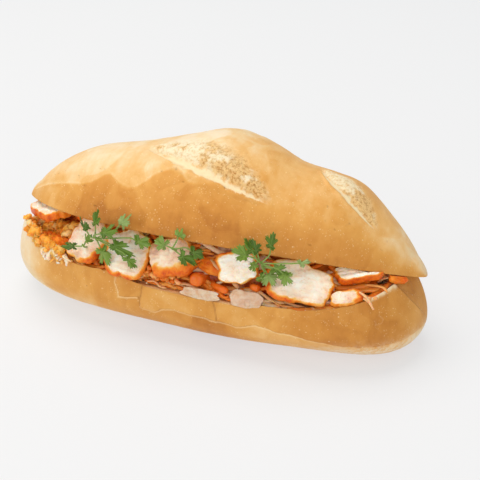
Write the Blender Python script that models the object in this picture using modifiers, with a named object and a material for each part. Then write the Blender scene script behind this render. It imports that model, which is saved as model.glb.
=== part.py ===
"""Banh mi sandwich: a short crisp roll slit along its front, with chicken, pickles and cilantro in the slit.

The roll lies along X and its slit faces -Y. Lengths are in metres and angles in degrees.
"""
import math
import random
from collections import namedtuple

import bmesh
import bpy
from mathutils import Matrix, Vector, noise

# Roll
BASE_LENGTH = 0.2105
BASE_WIDTH = 0.0835
LID_LENGTH = 0.2044
LID_WIDTH = 0.086
LID_OFFSET = 0.0015           # the lid sits this much further along X
WIDEST_HEIGHT = 0.022         # of the base's widest line, which sinks towards the tips
WIDEST_SINK_RIGHT = 0.0055
WIDEST_SINK_LEFT = 0.0005
WALL_HEIGHT = 0.050           # of the base's side, if it closed over like a whole loaf
CUT_HEIGHT = 0.031
CUT_RISE_RIGHT = 0.015        # how much higher the cut runs out at each tip
CUT_RISE_LEFT = 0.0075
CUT_DISH = 0.002              # the filling presses the lower crumb in
CROWN_HEIGHT = 0.0525
LIP_START = 0.006             # the lid is cut this high over its widest line
LID_OVERHANG = 0.0007         # the lid's back stands this much over the base
HINGE_Y = 0.030
OPEN_ANGLE = 21.0
FOOT_DEPTH = 0.0008           # how much of the underside is flat
LUMP_HEIGHT = 0.0006

# Filling
GAP = 0.0005                  # air between neighbours
CORE_GAP = 0.0012             # air between the pickles' core and the bread
CORE_SETBACK = 0.0058         # the pickles' front, behind the leaning front of the filling
CORE_RECESS = 0.0036          # how much further back it lies behind the slices of the second row
LEAF_THICKNESS = 0.0005
STEM_RADIUS = 0.0006

# Facets
LID_STATIONS, LID_RING = 40, 45
BASE_STATIONS, BASE_RING = 30, 40
OUTER_SHARE = 0.8             # share of each ring on the crust, the rest on the cut face

Slash = namedtuple("Slash", "start end lower upper")
Slice = namedtuple("Slice", "along height out wide tall thick spin tip yaw")
Strip = namedtuple("Strip", "radius sides points")
Leaf = namedtuple("Leaf", "stalk tip width")

# Slashes across the crown: two ends seen from above, then their reach to the front and to the back
SLASHES = [
    Slash((-0.038, 0.0015), (0.036, -0.0205), 0.0085, 0.0078),
    Slash((0.047, 0.0130), (0.082, -0.0070), 0.0060, 0.0062),
]
SLASH_LIP = 0.0008
SLASH_BAND = 0.0016
SLASH_DOME = 0.0012

# Chicken, from the left: place on the leaning front, sizes, then turns about its three axes
SLICES = [
    Slice(-0.0820, 0.0470, 0.0010, 0.0270, 0.0170, 0.0052, 4, -38, -14),
    Slice(-0.0555, 0.0436, 0.0000, 0.0205, 0.0225, 0.0045, -12, -8, 0),
    Slice(-0.0326, 0.0431, 0.0014, 0.0232, 0.0225, 0.0045, 6, -10, 0),
    Slice(-0.0098, 0.0455, 0.0012, 0.0225, 0.0190, 0.0070, 14, -10, 0),
    Slice(0.0088, 0.0443, -0.0028, 0.0125, 0.0064, 0.0036, -14, 0, 0),
    Slice(0.0165, 0.0535, -0.0046, 0.0140, 0.0078, 0.0030, 0, 0, 0),
    Slice(0.0225, 0.0468, 0.0018, 0.0190, 0.0160, 0.0042, 14, 0, 0),
    Slice(0.0345, 0.0470, -0.0040, 0.0110, 0.0120, 0.0032, -10, 0, 0),
    Slice(0.0512, 0.0424, 0.0010, 0.0300, 0.0200, 0.0048, -8, -6, 0),
    Slice(0.0640, 0.0440, -0.0045, 0.0100, 0.0120, 0.0032, 8, 0, 0),
    Slice(0.0768, 0.0452, 0.0020, 0.0238, 0.0100, 0.0044, -7, -12, 0),
    Slice(0.0742, 0.0384, 0.0012, 0.0150, 0.0074, 0.0040, 5, -4, 0),
    Slice(0.0925, 0.0430, 0.0010, 0.0100, 0.0060, 0.0028, 0, -10, 0),
]

SECOND_ROW = [0.0190, 0.0345, 0.0640]        # where slices lie behind the first row

# Pickle strips: thickness, number of sides, then places on the leaning front (along, height, out)
CARROTS = [
    Strip(0.0033, 8, [(0.0048, 0.0392, -0.016), (0.0040, 0.0387, -0.003), (0.0036, 0.0384, 0.0028)]),
    Strip(0.0017, 4, [(0.0060, 0.0390, -0.014), (0.0105, 0.0372, -0.004), (0.0195, 0.0360, 0.0016)]),
    Strip(0.0017, 4, [(0.0290, 0.0400, -0.016), (0.0305, 0.0395, -0.002), (0.0340, 0.0390, 0.0005)]),
]
STRANDS = [
    Strip(0.0010, 4, [(0.0780, 0.0415, -0.016), (0.0815, 0.0395, -0.001), (0.0845, 0.0382, 0.0025)]),
    Strip(0.0009, 4, [(0.0790, 0.0410, -0.016), (0.0840, 0.0395, -0.002), (0.0870, 0.0385, 0.0015)]),
    Strip(0.0010, 4, [(-0.0080, 0.0400, -0.014), (-0.0070, 0.0365, -0.001), (-0.0040, 0.0352, 0.0010)]),
]
# Thin daikon slices that lap over the rim, placed and sized like the chicken
DAIKON = [
    Slice(0.0065, 0.0328, 0.0015, 0.0190, 0.0050, 0.0010, 0, 0, 0),
    Slice(0.0290, 0.0342, 0.0015, 0.0150, 0.0080, 0.0010, 0, 0, 0),
]
# Shredded chicken under the first slice: its lump, then how its shreds spread along the rim
SHRED_LUMP = Slice(-0.0795, 0.0392, -0.0010, 0.0240, 0.0130, 0.0050, 0, -50, -10)
SHREDS = 11
SHRED_SPAN = (-0.0900, -0.0685)
SHRED_RADIUS = 0.0010
SHRED_LENGTH = 0.0070

# Leaflets of each sprig: stalk end, tip and width
SPRIGS = [
    [
        Leaf((-0.0500, -0.0385, 0.0520), (-0.0545, -0.0400, 0.0620), 0.006),
        Leaf((-0.0480, -0.0385, 0.0530), (-0.0330, -0.0430, 0.0610), 0.010),
        Leaf((-0.0465, -0.0380, 0.0500), (-0.0395, -0.0415, 0.0390), 0.011),
        Leaf((-0.0436, -0.0400, 0.0522), (-0.0250, -0.0440, 0.0495), 0.009),
    ],
    [
        Leaf((-0.0562, -0.0367, 0.0446), (-0.0660, -0.0386, 0.0440), 0.006),
        Leaf((-0.0544, -0.0362, 0.0454), (-0.0512, -0.0374, 0.0522), 0.006),
    ],
    [
        Leaf((-0.0070, -0.0420, 0.0560), (-0.0150, -0.0440, 0.0590), 0.010),
        Leaf((-0.0060, -0.0415, 0.0550), (0.0050, -0.0420, 0.0480), 0.009),
    ],
    [
        Leaf((0.0340, -0.0400, 0.0570), (0.0220, -0.0430, 0.0610), 0.010),
        Leaf((0.0350, -0.0395, 0.0570), (0.0330, -0.0420, 0.0680), 0.009),
        Leaf((0.0370, -0.0385, 0.0520), (0.0430, -0.0400, 0.0440), 0.011),
        Leaf((0.0375, -0.0380, 0.0525), (0.0500, -0.0400, 0.0520), 0.008),
    ],
]


def remove_everything():
    for thing in list(bpy.data.objects):
        bpy.data.objects.remove(thing)


def smooth(value, low, high):
    t = min(1.0, max(0.0, (value - low) / (high - low)))
    return t * t * (3 - 2 * t)


def hump(u, centre, width):
    return math.exp(-((u - centre) / width) ** 2)


def signed_power(value, power):
    return math.copysign(abs(value) ** power, value)


def plan(u, roundness, bluntness):
    """Half width of a loaf seen from above, as a share, at u from -1 to 1 along it."""
    return max(0.0, 1 - abs(u) ** roundness) ** bluntness


def cut_height(u):
    rise = CUT_RISE_RIGHT if u > 0 else CUT_RISE_LEFT
    return CUT_HEIGHT + rise * u ** 4


def base_half_width(u, front):
    """Half width of the base, whose tips are blunt in front and slender behind."""
    if front:
        roundness = 4.6 if u > 0 else 3.6
    else:
        roundness = 2.3 if u > 0 else 3.0
    return BASE_WIDTH / 2 * plan(u, roundness, 0.5) * (1 + 0.05 * u)


def widest_height(u):
    sink = WIDEST_SINK_RIGHT if u > 0 else WIDEST_SINK_LEFT
    return WIDEST_HEIGHT - sink * u ** 4


def wall_height(u):
    return max(WALL_HEIGHT * plan(u, 2.6, 0.55), 1e-6)


def rim_height(u):
    return min(cut_height(u), widest_height(u) + 0.85 * wall_height(u))


def floor_height(x, y):
    """Height of the lower cut face."""
    u = max(-1.0, min(1.0, 2 * x / BASE_LENGTH))
    across = min(1.0, abs(y) / max(base_half_width(u, y < 0), 1e-6))
    return rim_height(u) - CUT_DISH * (1 - across ** 2) * (1 - u ** 4)


def base_outline(u, s):
    """Point (y, z) of the base's crust, from the front rim (s = 0) under it to the back rim (s = 1)."""
    upper = 0.125
    half = base_half_width(u, s < 0.5)
    wall = wall_height(u)
    widest = widest_height(u)
    rim = rim_height(u)
    side = -1 if s < 0.5 else 1
    edge = min(s, 1 - s)
    if edge < upper:
        z = rim + (widest - rim) * edge / upper
        y = side * half * max(0.0, 1 - ((z - widest) / wall) ** 2) ** 0.5
        return y, z
    a = math.pi * (s - upper) / (1 - 2 * upper)
    tuck = 0.08 * hump(u, -0.4, 0.35) + 0.19 * hump(u, 0.66, 0.36) + 0.17 * hump(u, -0.86, 0.24)
    y = -half * (1 - tuck * math.sin(a) * (s < 0.5)) * signed_power(math.cos(a), 0.88)
    depth = widest * max(0.0, 1 - abs(u) ** 10) ** 0.5
    return y, max(widest - depth * math.sin(a) ** 0.88, FOOT_DEPTH)


def crown_height(u):
    blunt = 0.65 if u > 0 else 0.60
    height = CROWN_HEIGHT * plan(u, 2.3, blunt)
    swells = 0.0045 * hump(u, 0.0, 0.18) + 0.0022 * hump(u, 0.64, 0.1)
    dips = 0.0030 * hump(u, 0.36, 0.13) + 0.0032 * hump(u, -0.42, 0.25)
    return height + (swells - dips) * smooth(1 - abs(u), 0.0, 0.06)


def lid_back_width(u):
    """Half width of the lid behind its middle, where it follows the base."""
    roundness = 2.3 if u > 0 else 2.9
    return (LID_WIDTH / 2 + LID_OVERHANG) * plan(u, roundness, 0.5) * (1 + 0.04 * u)


def lid_outline(u, s):
    """Point (y, z) of the closed lid's crust, from the front lip (s = 0) over it to the back (s = 1)."""
    half = LID_WIDTH / 2 * plan(u, 2.1, 0.62) if s < 0.5 else lid_back_width(u)
    height = max(crown_height(u), 1e-6)
    start = math.asin(min(0.4, LIP_START / height) ** 1.025)
    a = start + (math.pi - 2 * start) * s
    y = -half * signed_power(math.cos(a), 0.976)
    return y, CUT_HEIGHT + height * (math.sin(a) ** 0.976 - math.sin(start) ** 0.976)


def lid_lift(u):
    return 0.0015 * (1 - u * u) - 0.0032 * max(u, 0.0) ** 2.5 + 0.005 * max(-u, 0.0) ** 3


def hinge_drop(u, y):
    """How far the lid's back is bent down to the base, where the crust holds the two together."""
    back = HINGE_Y + (lid_back_width(u) - HINGE_Y) * math.cos(math.radians(OPEN_ANGLE))
    free = CUT_HEIGHT + (HINGE_Y - back) * math.tan(math.radians(OPEN_ANGLE)) + lid_lift(u)
    need = max(0.0, free - cut_height(u) + 0.003)
    return need * smooth(y, 0.35 * back, 0.95 * max(back, 1e-4)) * smooth(1 - abs(u), 0.05, 0.18)


def roof_height(x, y):
    """Height of the lid's cut face over the slit."""
    u = max(-1.0, min(1.0, 2 * (x - LID_OFFSET) / LID_LENGTH))
    tilt = math.tan(math.radians(OPEN_ANGLE))
    return CUT_HEIGHT + (HINGE_Y - y) * tilt + lid_lift(u) - hinge_drop(u, y)


def open_lid(u, y, z):
    """Place of a point of the closed lid once the lid is open."""
    turn = math.radians(OPEN_ANGLE)
    across, up = y - HINGE_Y, z - CUT_HEIGHT
    new_y = HINGE_Y + across * math.cos(turn) + up * math.sin(turn)
    new_z = CUT_HEIGHT - across * math.sin(turn) + up * math.cos(turn) + lid_lift(u)
    held = 1 - smooth(up, 0.0, 0.035)
    return Vector((u * LID_LENGTH / 2 + LID_OFFSET, new_y, new_z - hinge_drop(u, new_y) * held))


def slash_relief(x, y):
    """Height added along a slash: a lip, a sunk pale band behind it and a domed rough part."""
    total = 0.0
    for slash in SLASHES:
        dx = slash.end[0] - slash.start[0]
        dy = slash.end[1] - slash.start[1]
        s = ((x - slash.start[0]) * dx + (y - slash.start[1]) * dy) / (dx * dx + dy * dy)
        if not 0 < s < 1:
            continue
        off = y - (slash.start[1] + dy * s)
        swell = math.sin(math.pi * s) ** 0.8
        reach = slash.upper if off > 0 else slash.lower
        across = off / (reach * swell)
        lip = SLASH_LIP * hump(across, -1.25, 0.35)
        band = -SLASH_BAND * hump(across, -0.75, 0.30)
        dome = SLASH_DOME * hump(across, 0.35, 0.50)
        total += (lip + band + dome) * smooth(swell, 0.1, 0.5)
    return total


def lumps(point, size, seed):
    return noise.noise(point / size + Vector((seed, seed * 0.37, 0)))


def lid_point(u, t):
    if t <= OUTER_SHARE:
        y, z = lid_outline(u, t / OUTER_SHARE)
        place = open_lid(u, y, z)
        crust = math.sin(math.pi * t / OUTER_SHARE)
        out = Vector((0, place.y - 0.012, place.z - 0.045)).normalized()
        relief = slash_relief(place.x, place.y) * smooth(crust, 0.2, 0.5)
        return place + out * (relief + LUMP_HEIGHT * crust * lumps(place, 0.022, 3.1)) * plan(u, 2, 1)
    share = (t - OUTER_SHARE) / (1 - OUTER_SHARE)
    back = open_lid(u, *lid_outline(u, 1.0))
    front = open_lid(u, *lid_outline(u, 0.0))
    place = back.lerp(front, share)
    place.z = roof_height(place.x, place.y)
    return place


def base_point(u, t):
    x = u * BASE_LENGTH / 2
    if t <= OUTER_SHARE:
        y, z = base_outline(u, t / OUTER_SHARE)
        place = Vector((x, y, z))
        side = math.sin(math.pi * t / OUTER_SHARE) * smooth(z, 0.002, 0.01)
        out = Vector((0, y, z - 0.03)).normalized()
        return place + out * LUMP_HEIGHT * side * lumps(place, 0.024, 7.7)
    share = (t - OUTER_SHARE) / (1 - OUTER_SHARE)
    back, front = base_outline(u, 1.0), base_outline(u, 0.0)
    y = back[0] + (front[0] - back[0]) * share
    return Vector((x, y, floor_height(x, y)))


def loaf(name, stations, ring, point):
    """Closed loaf from a sphere with its poles at the tips; point(u, t) gives each vertex its place."""
    bm = bmesh.new()
    bmesh.ops.create_uvsphere(bm, u_segments=ring, v_segments=stations, radius=1.0)
    for vert in bm.verts:
        u = max(-1.0, min(1.0, vert.co.z))
        turn = math.atan2(vert.co.y, vert.co.x) / math.tau % 1.0
        vert.co = point(u, round(turn * ring) % ring / ring)
    return finish_mesh(name, bm)


def finish_mesh(name, bm):
    bmesh.ops.recalc_face_normals(bm, faces=bm.faces)
    mesh = bpy.data.meshes.new(name)
    bm.to_mesh(mesh)
    bm.free()
    thing = bpy.data.objects.new(name, mesh)
    bpy.context.scene.collection.objects.link(thing)
    return thing


def as_mesh(thing):
    """Mesh object of what the object looks like with its curve and modifiers applied."""
    graph = bpy.context.evaluated_depsgraph_get()
    mesh = bpy.data.meshes.new_from_object(thing.evaluated_get(graph))
    plain = bpy.data.objects.new(thing.name + "_mesh", mesh)
    plain.matrix_world = thing.matrix_world.copy()
    bpy.context.scene.collection.objects.link(plain)
    bpy.data.objects.remove(thing)
    return plain


def fuse(name, body, others, solver="EXACT"):
    """One closed solid from the body and the others; loose scraps are dropped."""
    group = bpy.data.collections.new(name + "_pieces")
    bpy.context.scene.collection.children.link(group)
    for thing in others:
        group.objects.link(thing)
    union = body.modifiers.new("union", "BOOLEAN")
    union.operation = "UNION"
    union.operand_type = "COLLECTION"
    union.collection = group
    union.solver = solver
    bpy.context.view_layer.update()
    whole = as_mesh(body)
    for thing in others:
        bpy.data.objects.remove(thing)
    bpy.data.collections.remove(group)
    keep_largest(whole.data)
    whole.name = name
    whole.data.name = name
    return whole


def keep_largest(mesh):
    bm = bmesh.new()
    bm.from_mesh(mesh)
    bmesh.ops.triangulate(bm, faces=bm.faces)
    left = set(bm.verts)
    groups = []
    while left:
        group, edge = set(), [left.pop()]
        while edge:
            vert = edge.pop()
            group.add(vert)
            for link in vert.link_edges:
                other = link.other_vert(vert)
                if other in left:
                    left.remove(other)
                    edge.append(other)
        groups.append(group)
    keep = max(groups, key=len)
    bmesh.ops.delete(bm, geom=[v for v in bm.verts if v not in keep], context="VERTS")
    bm.to_mesh(mesh)
    bm.free()


def front_frame(x):
    """Leaning front of the filling at x: foot on the rim, direction along it, up it and out of it."""
    def foot(at):
        y, z = base_outline(2 * at / BASE_LENGTH, 0.0)
        return Vector((at, y + 0.001, z + 0.001))

    def head(at):
        u = 2 * (at - LID_OFFSET) / LID_LENGTH
        lip = open_lid(u, *lid_outline(u, 0.0))
        y = lip.y + 0.009
        return Vector((at, y, max(lip.z - 0.0035, foot(at).z + 0.6 * (y - foot(at).y))))

    step = 0.003
    start, top = foot(x), head(x)
    along = (foot(x + step) + head(x + step) - foot(x - step) - head(x - step)).normalized()
    up = top - start
    out = along.cross(up).normalized()
    return start, along, up, out


def on_front(x, height, out=0.0):
    """Point of the leaning front at this x and height, moved outwards."""
    start, _, up, outward = front_frame(x)
    return start + up * (height - start.z) / up.z + outward * out


def press(place, spare=GAP):
    """Point moved clear of the two cut faces."""
    rim = base_outline(max(-1.0, min(1.0, 2 * place.x / BASE_LENGTH)), 0.0)[0]
    low = floor_height(place.x, place.y) + spare
    high = roof_height(place.x, place.y) - spare
    if place.y > rim - spare:
        place.z = max(place.z, low)
    u = 2 * (place.x - LID_OFFSET) / LID_LENGTH
    if abs(u) < 1 and place.y > open_lid(u, *lid_outline(u, 0.0)).y - 0.0015:
        place.z = max(min(place.z, high), min(place.z, low))
    return place


def slab(name, piece, seed):
    """Slab with a ragged rounded outline that leans in the slit."""
    bm = bmesh.new()
    bmesh.ops.create_uvsphere(bm, u_segments=16, v_segments=6, radius=1.0)
    _, along, _, out = front_frame(piece.along)
    centre = on_front(piece.along, piece.height, piece.out)
    frame = Matrix((along, out.cross(along), out)).transposed()
    turn = Matrix.Rotation(math.radians(piece.yaw), 3, "Y") @ Matrix.Rotation(math.radians(piece.tip), 3, "X")
    turn = frame @ turn @ Matrix.Rotation(math.radians(piece.spin), 3, "Z")
    for vert in bm.verts:
        flat = vert.co.xy.length
        angle = math.atan2(vert.co.y, vert.co.x)
        ragged = 1 + 0.16 * noise.noise(Vector((1.7 * math.cos(angle), 1.7 * math.sin(angle), seed)))
        reach = flat ** 0.3 * ragged
        square = max(abs(math.cos(angle)) ** 3 + abs(math.sin(angle)) ** 3, 0.5) ** (-1 / 3)
        x = piece.wide / 2 * reach * square * math.cos(angle)
        y = piece.tall / 2 * reach * square * math.sin(angle)
        bulge = 0.0007 * noise.noise(Vector((x, y, 0)) / 0.007 + Vector((seed, 0, 5)))
        z = piece.thick / 2 * signed_power(vert.co.z, 0.5) + bulge
        vert.co = press(centre + turn @ Vector((x, y, z)))
    return finish_mesh(name, bm)


def tube(points, radius, sides):
    """Round or many-sided strip through the points."""
    curve = bpy.data.curves.new("strip", "CURVE")
    curve.dimensions = "3D"
    curve.bevel_depth = radius
    curve.bevel_resolution = max(0, sides // 2 - 2)
    curve.use_fill_caps = True
    line = curve.splines.new("POLY")
    line.points.add(len(points) - 1)
    for spot, place in zip(line.points, points):
        spot.co = (*place, 1.0)
    thing = bpy.data.objects.new("strip", curve)
    bpy.context.scene.collection.objects.link(thing)
    solid = as_mesh(thing)
    bm = bmesh.new()
    bm.from_mesh(solid.data)
    bmesh.ops.remove_doubles(bm, verts=bm.verts, dist=1e-6)
    bm.to_mesh(solid.data)
    bm.free()
    return solid


def pickle_core():
    """Wedge of pickles that fills the slit from behind the slices to the hinge."""
    length, back = 0.172, 0.022

    def point(u, t):
        x = 0.004 + u * length / 2
        angle = math.tau * t
        inner = plan(u, 6, 0.5)
        side = max(abs(math.cos(angle)), abs(math.sin(angle)))
        across = inner * math.cos(angle) / side
        up = inner * math.sin(angle) / side
        start, _, lean, outward = front_frame(max(-0.09, min(0.09, x)))
        recess = CORE_RECESS * max(hump(x, place, 0.011) for place in SECOND_ROW)
        front = start.y + CORE_SETBACK + recess + lean.y * (0.5 + 0.5 * up) * 0.9
        rear = max(front + 0.002, back * plan(u, 3, 0.5))
        y = front + (rear - front) * (0.5 + 0.5 * across)
        low = floor_height(x, y) + CORE_GAP
        high = roof_height(x, y) - CORE_GAP
        middle = (low + high) / 2
        return Vector((x, y, middle + max(0.0002, (high - low) / 2) * up))

    return loaf("pickle_core", 30, 16, point)


def leaflet(leaf, seed):
    """Lobed wavy leaf, with both faces in triangles."""
    outline_points = 20
    bm = bmesh.new()
    bmesh.ops.create_circle(bm, cap_ends=True, cap_tris=True, segments=outline_points, radius=1.0)
    spokes = [edge for edge in bm.edges if any(vert.co.length < 0.01 for vert in edge.verts)]
    bmesh.ops.subdivide_edges(bm, edges=spokes, cuts=1)
    bmesh.ops.triangulate(bm, faces=bm.faces)
    stalk, tip = Vector(leaf.stalk), Vector(leaf.tip)
    ahead = tip - stalk
    out = front_frame(stalk.x)[3]
    across = ahead.cross(out).normalized()
    face = across.cross(ahead).normalized()
    centre = stalk + ahead * 0.42
    for vert in bm.verts:
        radius = vert.co.xy.length
        angle = math.atan2(vert.co.y, vert.co.x)
        lobes = 0.70 + 0.30 * math.cos(5 * angle)
        x, y = radius * lobes * math.cos(angle), radius * lobes * math.sin(angle)
        wave = 0.0007 * radius * math.sin(2 * angle + seed)
        vert.co = centre + ahead * 0.58 * x + across * leaf.width / 2 * y + face * wave
    blade = finish_mesh("leaflet", bm)
    shell = blade.modifiers.new("thickness", "SOLIDIFY")
    shell.thickness = LEAF_THICKNESS
    shell.offset = 0.0
    return as_mesh(blade)


def sprig(name, leaves, seed):
    """Leaflets on thin stalks that meet at the sprig's node."""
    meet = sum((Vector(leaf.stalk) for leaf in leaves), Vector()) / len(leaves)
    end = meet + Vector((0.002, 0.001, -0.004))
    body = tube([meet + Vector((0, 0, 0.001)), end], STEM_RADIUS, 4)
    pieces = []
    for index, leaf in enumerate(leaves):
        stalk, tip = Vector(leaf.stalk), Vector(leaf.tip)
        reach = stalk + (tip - stalk) * 0.3
        root = meet - (reach - meet).normalized() * 0.0002 * (index + 1)
        pieces.append(tube([root, reach], STEM_RADIUS, 4))
        pieces.append(leaflet(leaf, seed + index))
    return fuse(name, body, pieces, "MANIFOLD")


def colour(thing, name, rgb, roughness):
    material = bpy.data.materials.get(name) or bpy.data.materials.new(name)
    material.use_nodes = True
    surface = material.node_tree.nodes["Principled BSDF"]
    surface.inputs["Base Color"].default_value = (*rgb, 1.0)
    surface.inputs["Roughness"].default_value = roughness
    surface.inputs["Metallic"].default_value = 0.0
    thing.data.materials.clear()
    thing.data.materials.append(material)


def round_shading(thing, angle):
    thing.data.shade_smooth()
    thing.data.set_sharp_from_angle(angle=math.radians(angle))


def make_roll():
    base = loaf("base", BASE_STATIONS, BASE_RING, base_point)
    lid = loaf("lid", LID_STATIONS, LID_RING, lid_point)
    roll = fuse("roll", base, [lid])
    colour(roll, "crust", (0.72, 0.36, 0.11), 0.55)
    return roll


def make_pickles():
    strips = []
    for strip in CARROTS + STRANDS:
        points = [press(on_front(*point), strip.radius + GAP) for point in strip.points]
        strips.append(tube(points, strip.radius, strip.sides))
    heap = fuse("pickle_heap", pickle_core(), strips, "MANIFOLD")
    colour(heap, "pickle", (0.80, 0.22, 0.04), 0.35)
    return heap


def make_shreds():
    """Lump of torn chicken with shreds that stick out of it over the rim."""
    scatter = random.Random(4)
    lump = slab("lump", SHRED_LUMP, 21.0)
    shreds = []
    for index in range(SHREDS):
        along = SHRED_SPAN[0] + (SHRED_SPAN[1] - SHRED_SPAN[0]) * (index + 0.5) / SHREDS
        height = 0.0385 + 0.0015 * scatter.random()
        inner = on_front(along, height, -0.003)
        outer = on_front(along, height - 0.001, -0.003 + SHRED_LENGTH * (0.6 + 0.4 * scatter.random()))
        outer.x += 0.003 * (scatter.random() - 0.5)
        points = [press(point, SHRED_RADIUS + GAP) for point in (inner, inner.lerp(outer, 0.5), outer)]
        shreds.append(tube(points, SHRED_RADIUS, 4))
    heap = fuse("shredded_chicken", lump, shreds)
    colour(heap, "chicken_skin", (0.80, 0.30, 0.08), 0.45)
    return heap


def make_everything():
    things = [make_roll(), make_pickles(), make_shreds()]
    for index, piece in enumerate(DAIKON):
        sheet = slab(f"daikon_slice_{index + 1}", piece, 31.0 + index)
        colour(sheet, "daikon", (0.85, 0.66, 0.55), 0.25)
        things.append(sheet)
    for index, piece in enumerate(SLICES):
        meat = slab(f"chicken_slice_{index + 1:02d}", piece, 1.0 + index)
        colour(meat, "chicken", (0.80, 0.55, 0.42), 0.45)
        things.append(meat)
    for index, leaves in enumerate(SPRIGS):
        green = sprig(f"cilantro_sprig_{index + 1}", leaves, index * 2.0)
        colour(green, "cilantro", (0.12, 0.30, 0.06), 0.50)
        things.append(green)
    return things


def gather(things):
    group = bpy.data.collections.new("banh_mi_sandwich")
    bpy.context.scene.collection.children.link(group)
    for thing in things:
        for old in list(thing.users_collection):
            old.objects.unlink(thing)
        group.objects.link(thing)
        round_shading(thing, 40)


def stand_on_origin(things):
    """Moves everything so that the bottom centre of its box is the origin."""
    corners = [thing.matrix_world @ Vector(corner) for thing in things for corner in thing.bound_box]
    low = Vector([min(corner[axis] for corner in corners) for axis in range(3)])
    high = Vector([max(corner[axis] for corner in corners) for axis in range(3)])
    shift = Vector(((low.x + high.x) / 2, (low.y + high.y) / 2, low.z))
    for thing in things:
        thing.location -= shift


remove_everything()
pieces = make_everything()
gather(pieces)
bpy.context.view_layer.update()
stand_on_origin(pieces)
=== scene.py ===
"""Banh mi sandwich: the looks of the roll, the chicken, the pickles and the cilantro.

Lengths are in metres, but in millimetres where a table goes through sliced, leaves or metres. The roll lies along X
with its slit towards -Y. The shapes repeat the solids' own formulas at a finer grain, then gain the relief and the
colours of the real food.
"""

import math
import random
from collections import namedtuple
from math import cos, pi, radians, sin, tau

import bmesh
import bpy
import numpy as np
from mathutils import Matrix, Vector, noise


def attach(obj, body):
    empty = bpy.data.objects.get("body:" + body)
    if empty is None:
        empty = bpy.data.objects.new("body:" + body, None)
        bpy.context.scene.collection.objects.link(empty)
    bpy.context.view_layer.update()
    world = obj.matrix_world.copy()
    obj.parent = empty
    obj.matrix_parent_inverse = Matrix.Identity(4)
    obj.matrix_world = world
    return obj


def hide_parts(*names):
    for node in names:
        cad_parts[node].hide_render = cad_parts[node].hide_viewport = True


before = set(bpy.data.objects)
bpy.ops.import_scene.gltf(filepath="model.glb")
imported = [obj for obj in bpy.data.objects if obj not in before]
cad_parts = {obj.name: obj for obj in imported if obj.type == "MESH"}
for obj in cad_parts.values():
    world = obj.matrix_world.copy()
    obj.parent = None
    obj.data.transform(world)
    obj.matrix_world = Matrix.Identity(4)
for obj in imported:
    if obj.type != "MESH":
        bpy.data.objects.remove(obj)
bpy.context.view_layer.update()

# Roll, as in the solids
BASE_LENGTH = 0.2105
BASE_WIDTH = 0.0835
LID_LENGTH = 0.2044
LID_WIDTH = 0.086
LID_OFFSET = 0.0015
WIDEST_HEIGHT = 0.022
WIDEST_SINK_RIGHT = 0.0055
WIDEST_SINK_LEFT = 0.0005
WALL_HEIGHT = 0.050
CUT_HEIGHT = 0.031
CUT_RISE_RIGHT = 0.015
CUT_RISE_LEFT = 0.0075
CUT_DISH = 0.002
CROWN_HEIGHT = 0.0525
LIP_START = 0.006
LID_OVERHANG = 0.0007
HINGE_Y = 0.030
OPEN_ANGLE = radians(21.0)
FOOT_DEPTH = 0.0008
WALL_SHARE = 0.125       # share of the base's crust on each wall above its widest line
MIDDLE_SHIFT = 0.00011   # brings the middle of the whole to y = 0

# Grain of the meshes
LID_STATIONS, LID_RING = 420, 230
BASE_STATIONS, BASE_RING = 440, 220
CRUST_SHARE = 0.87       # share of each ring on the crust, the rest on the cut face

# Filling
GAP = 0.0005
CORE_GAP = 0.0012
CORE_SETBACK = 0.0058
CORE_RECESS = 0.0036
CORE_LENGTH = 0.172
CORE_MIDDLE = 0.004
CORE_BACK = 0.022
FRONT_INSET = 0.001      # from the rim to the foot of the leaning front, inwards and upwards
FRONT_LEAN = 0.009       # from the lid's lip back to the head of the front
HEAD_DROP = 0.0035
LEAST_SLOPE = 0.6
UNDER_LIP = 0.0015       # in front of the lid's lip, where the lid's cut face already bounds the filling
SECOND_ROW = [0.0190, 0.0345, 0.0640]

Slice = namedtuple("Slice", "along height out wide tall thick spin tip yaw skin pink")
Strip = namedtuple("Strip", "radius points")
Tangle = namedtuple("Tangle", "count slope length rise depth width tints")
Leaf = namedtuple("Leaf", "stalk tip width")
Slash = namedtuple("Slash", "start end lower upper")


def metres(value):
    """The same numbers, given in millimetres, in metres."""
    return round(value * 0.001, 7) if isinstance(value, (int, float)) else [metres(part) for part in value]


def sliced(along, height, out, wide, tall, thick, *rest):
    return Slice(*metres((along, height, out, wide, tall, thick)), *rest)


def leaves(sprigs):
    return [[Leaf(*metres(leaf)) for leaf in sprig] for sprig in sprigs]


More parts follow.
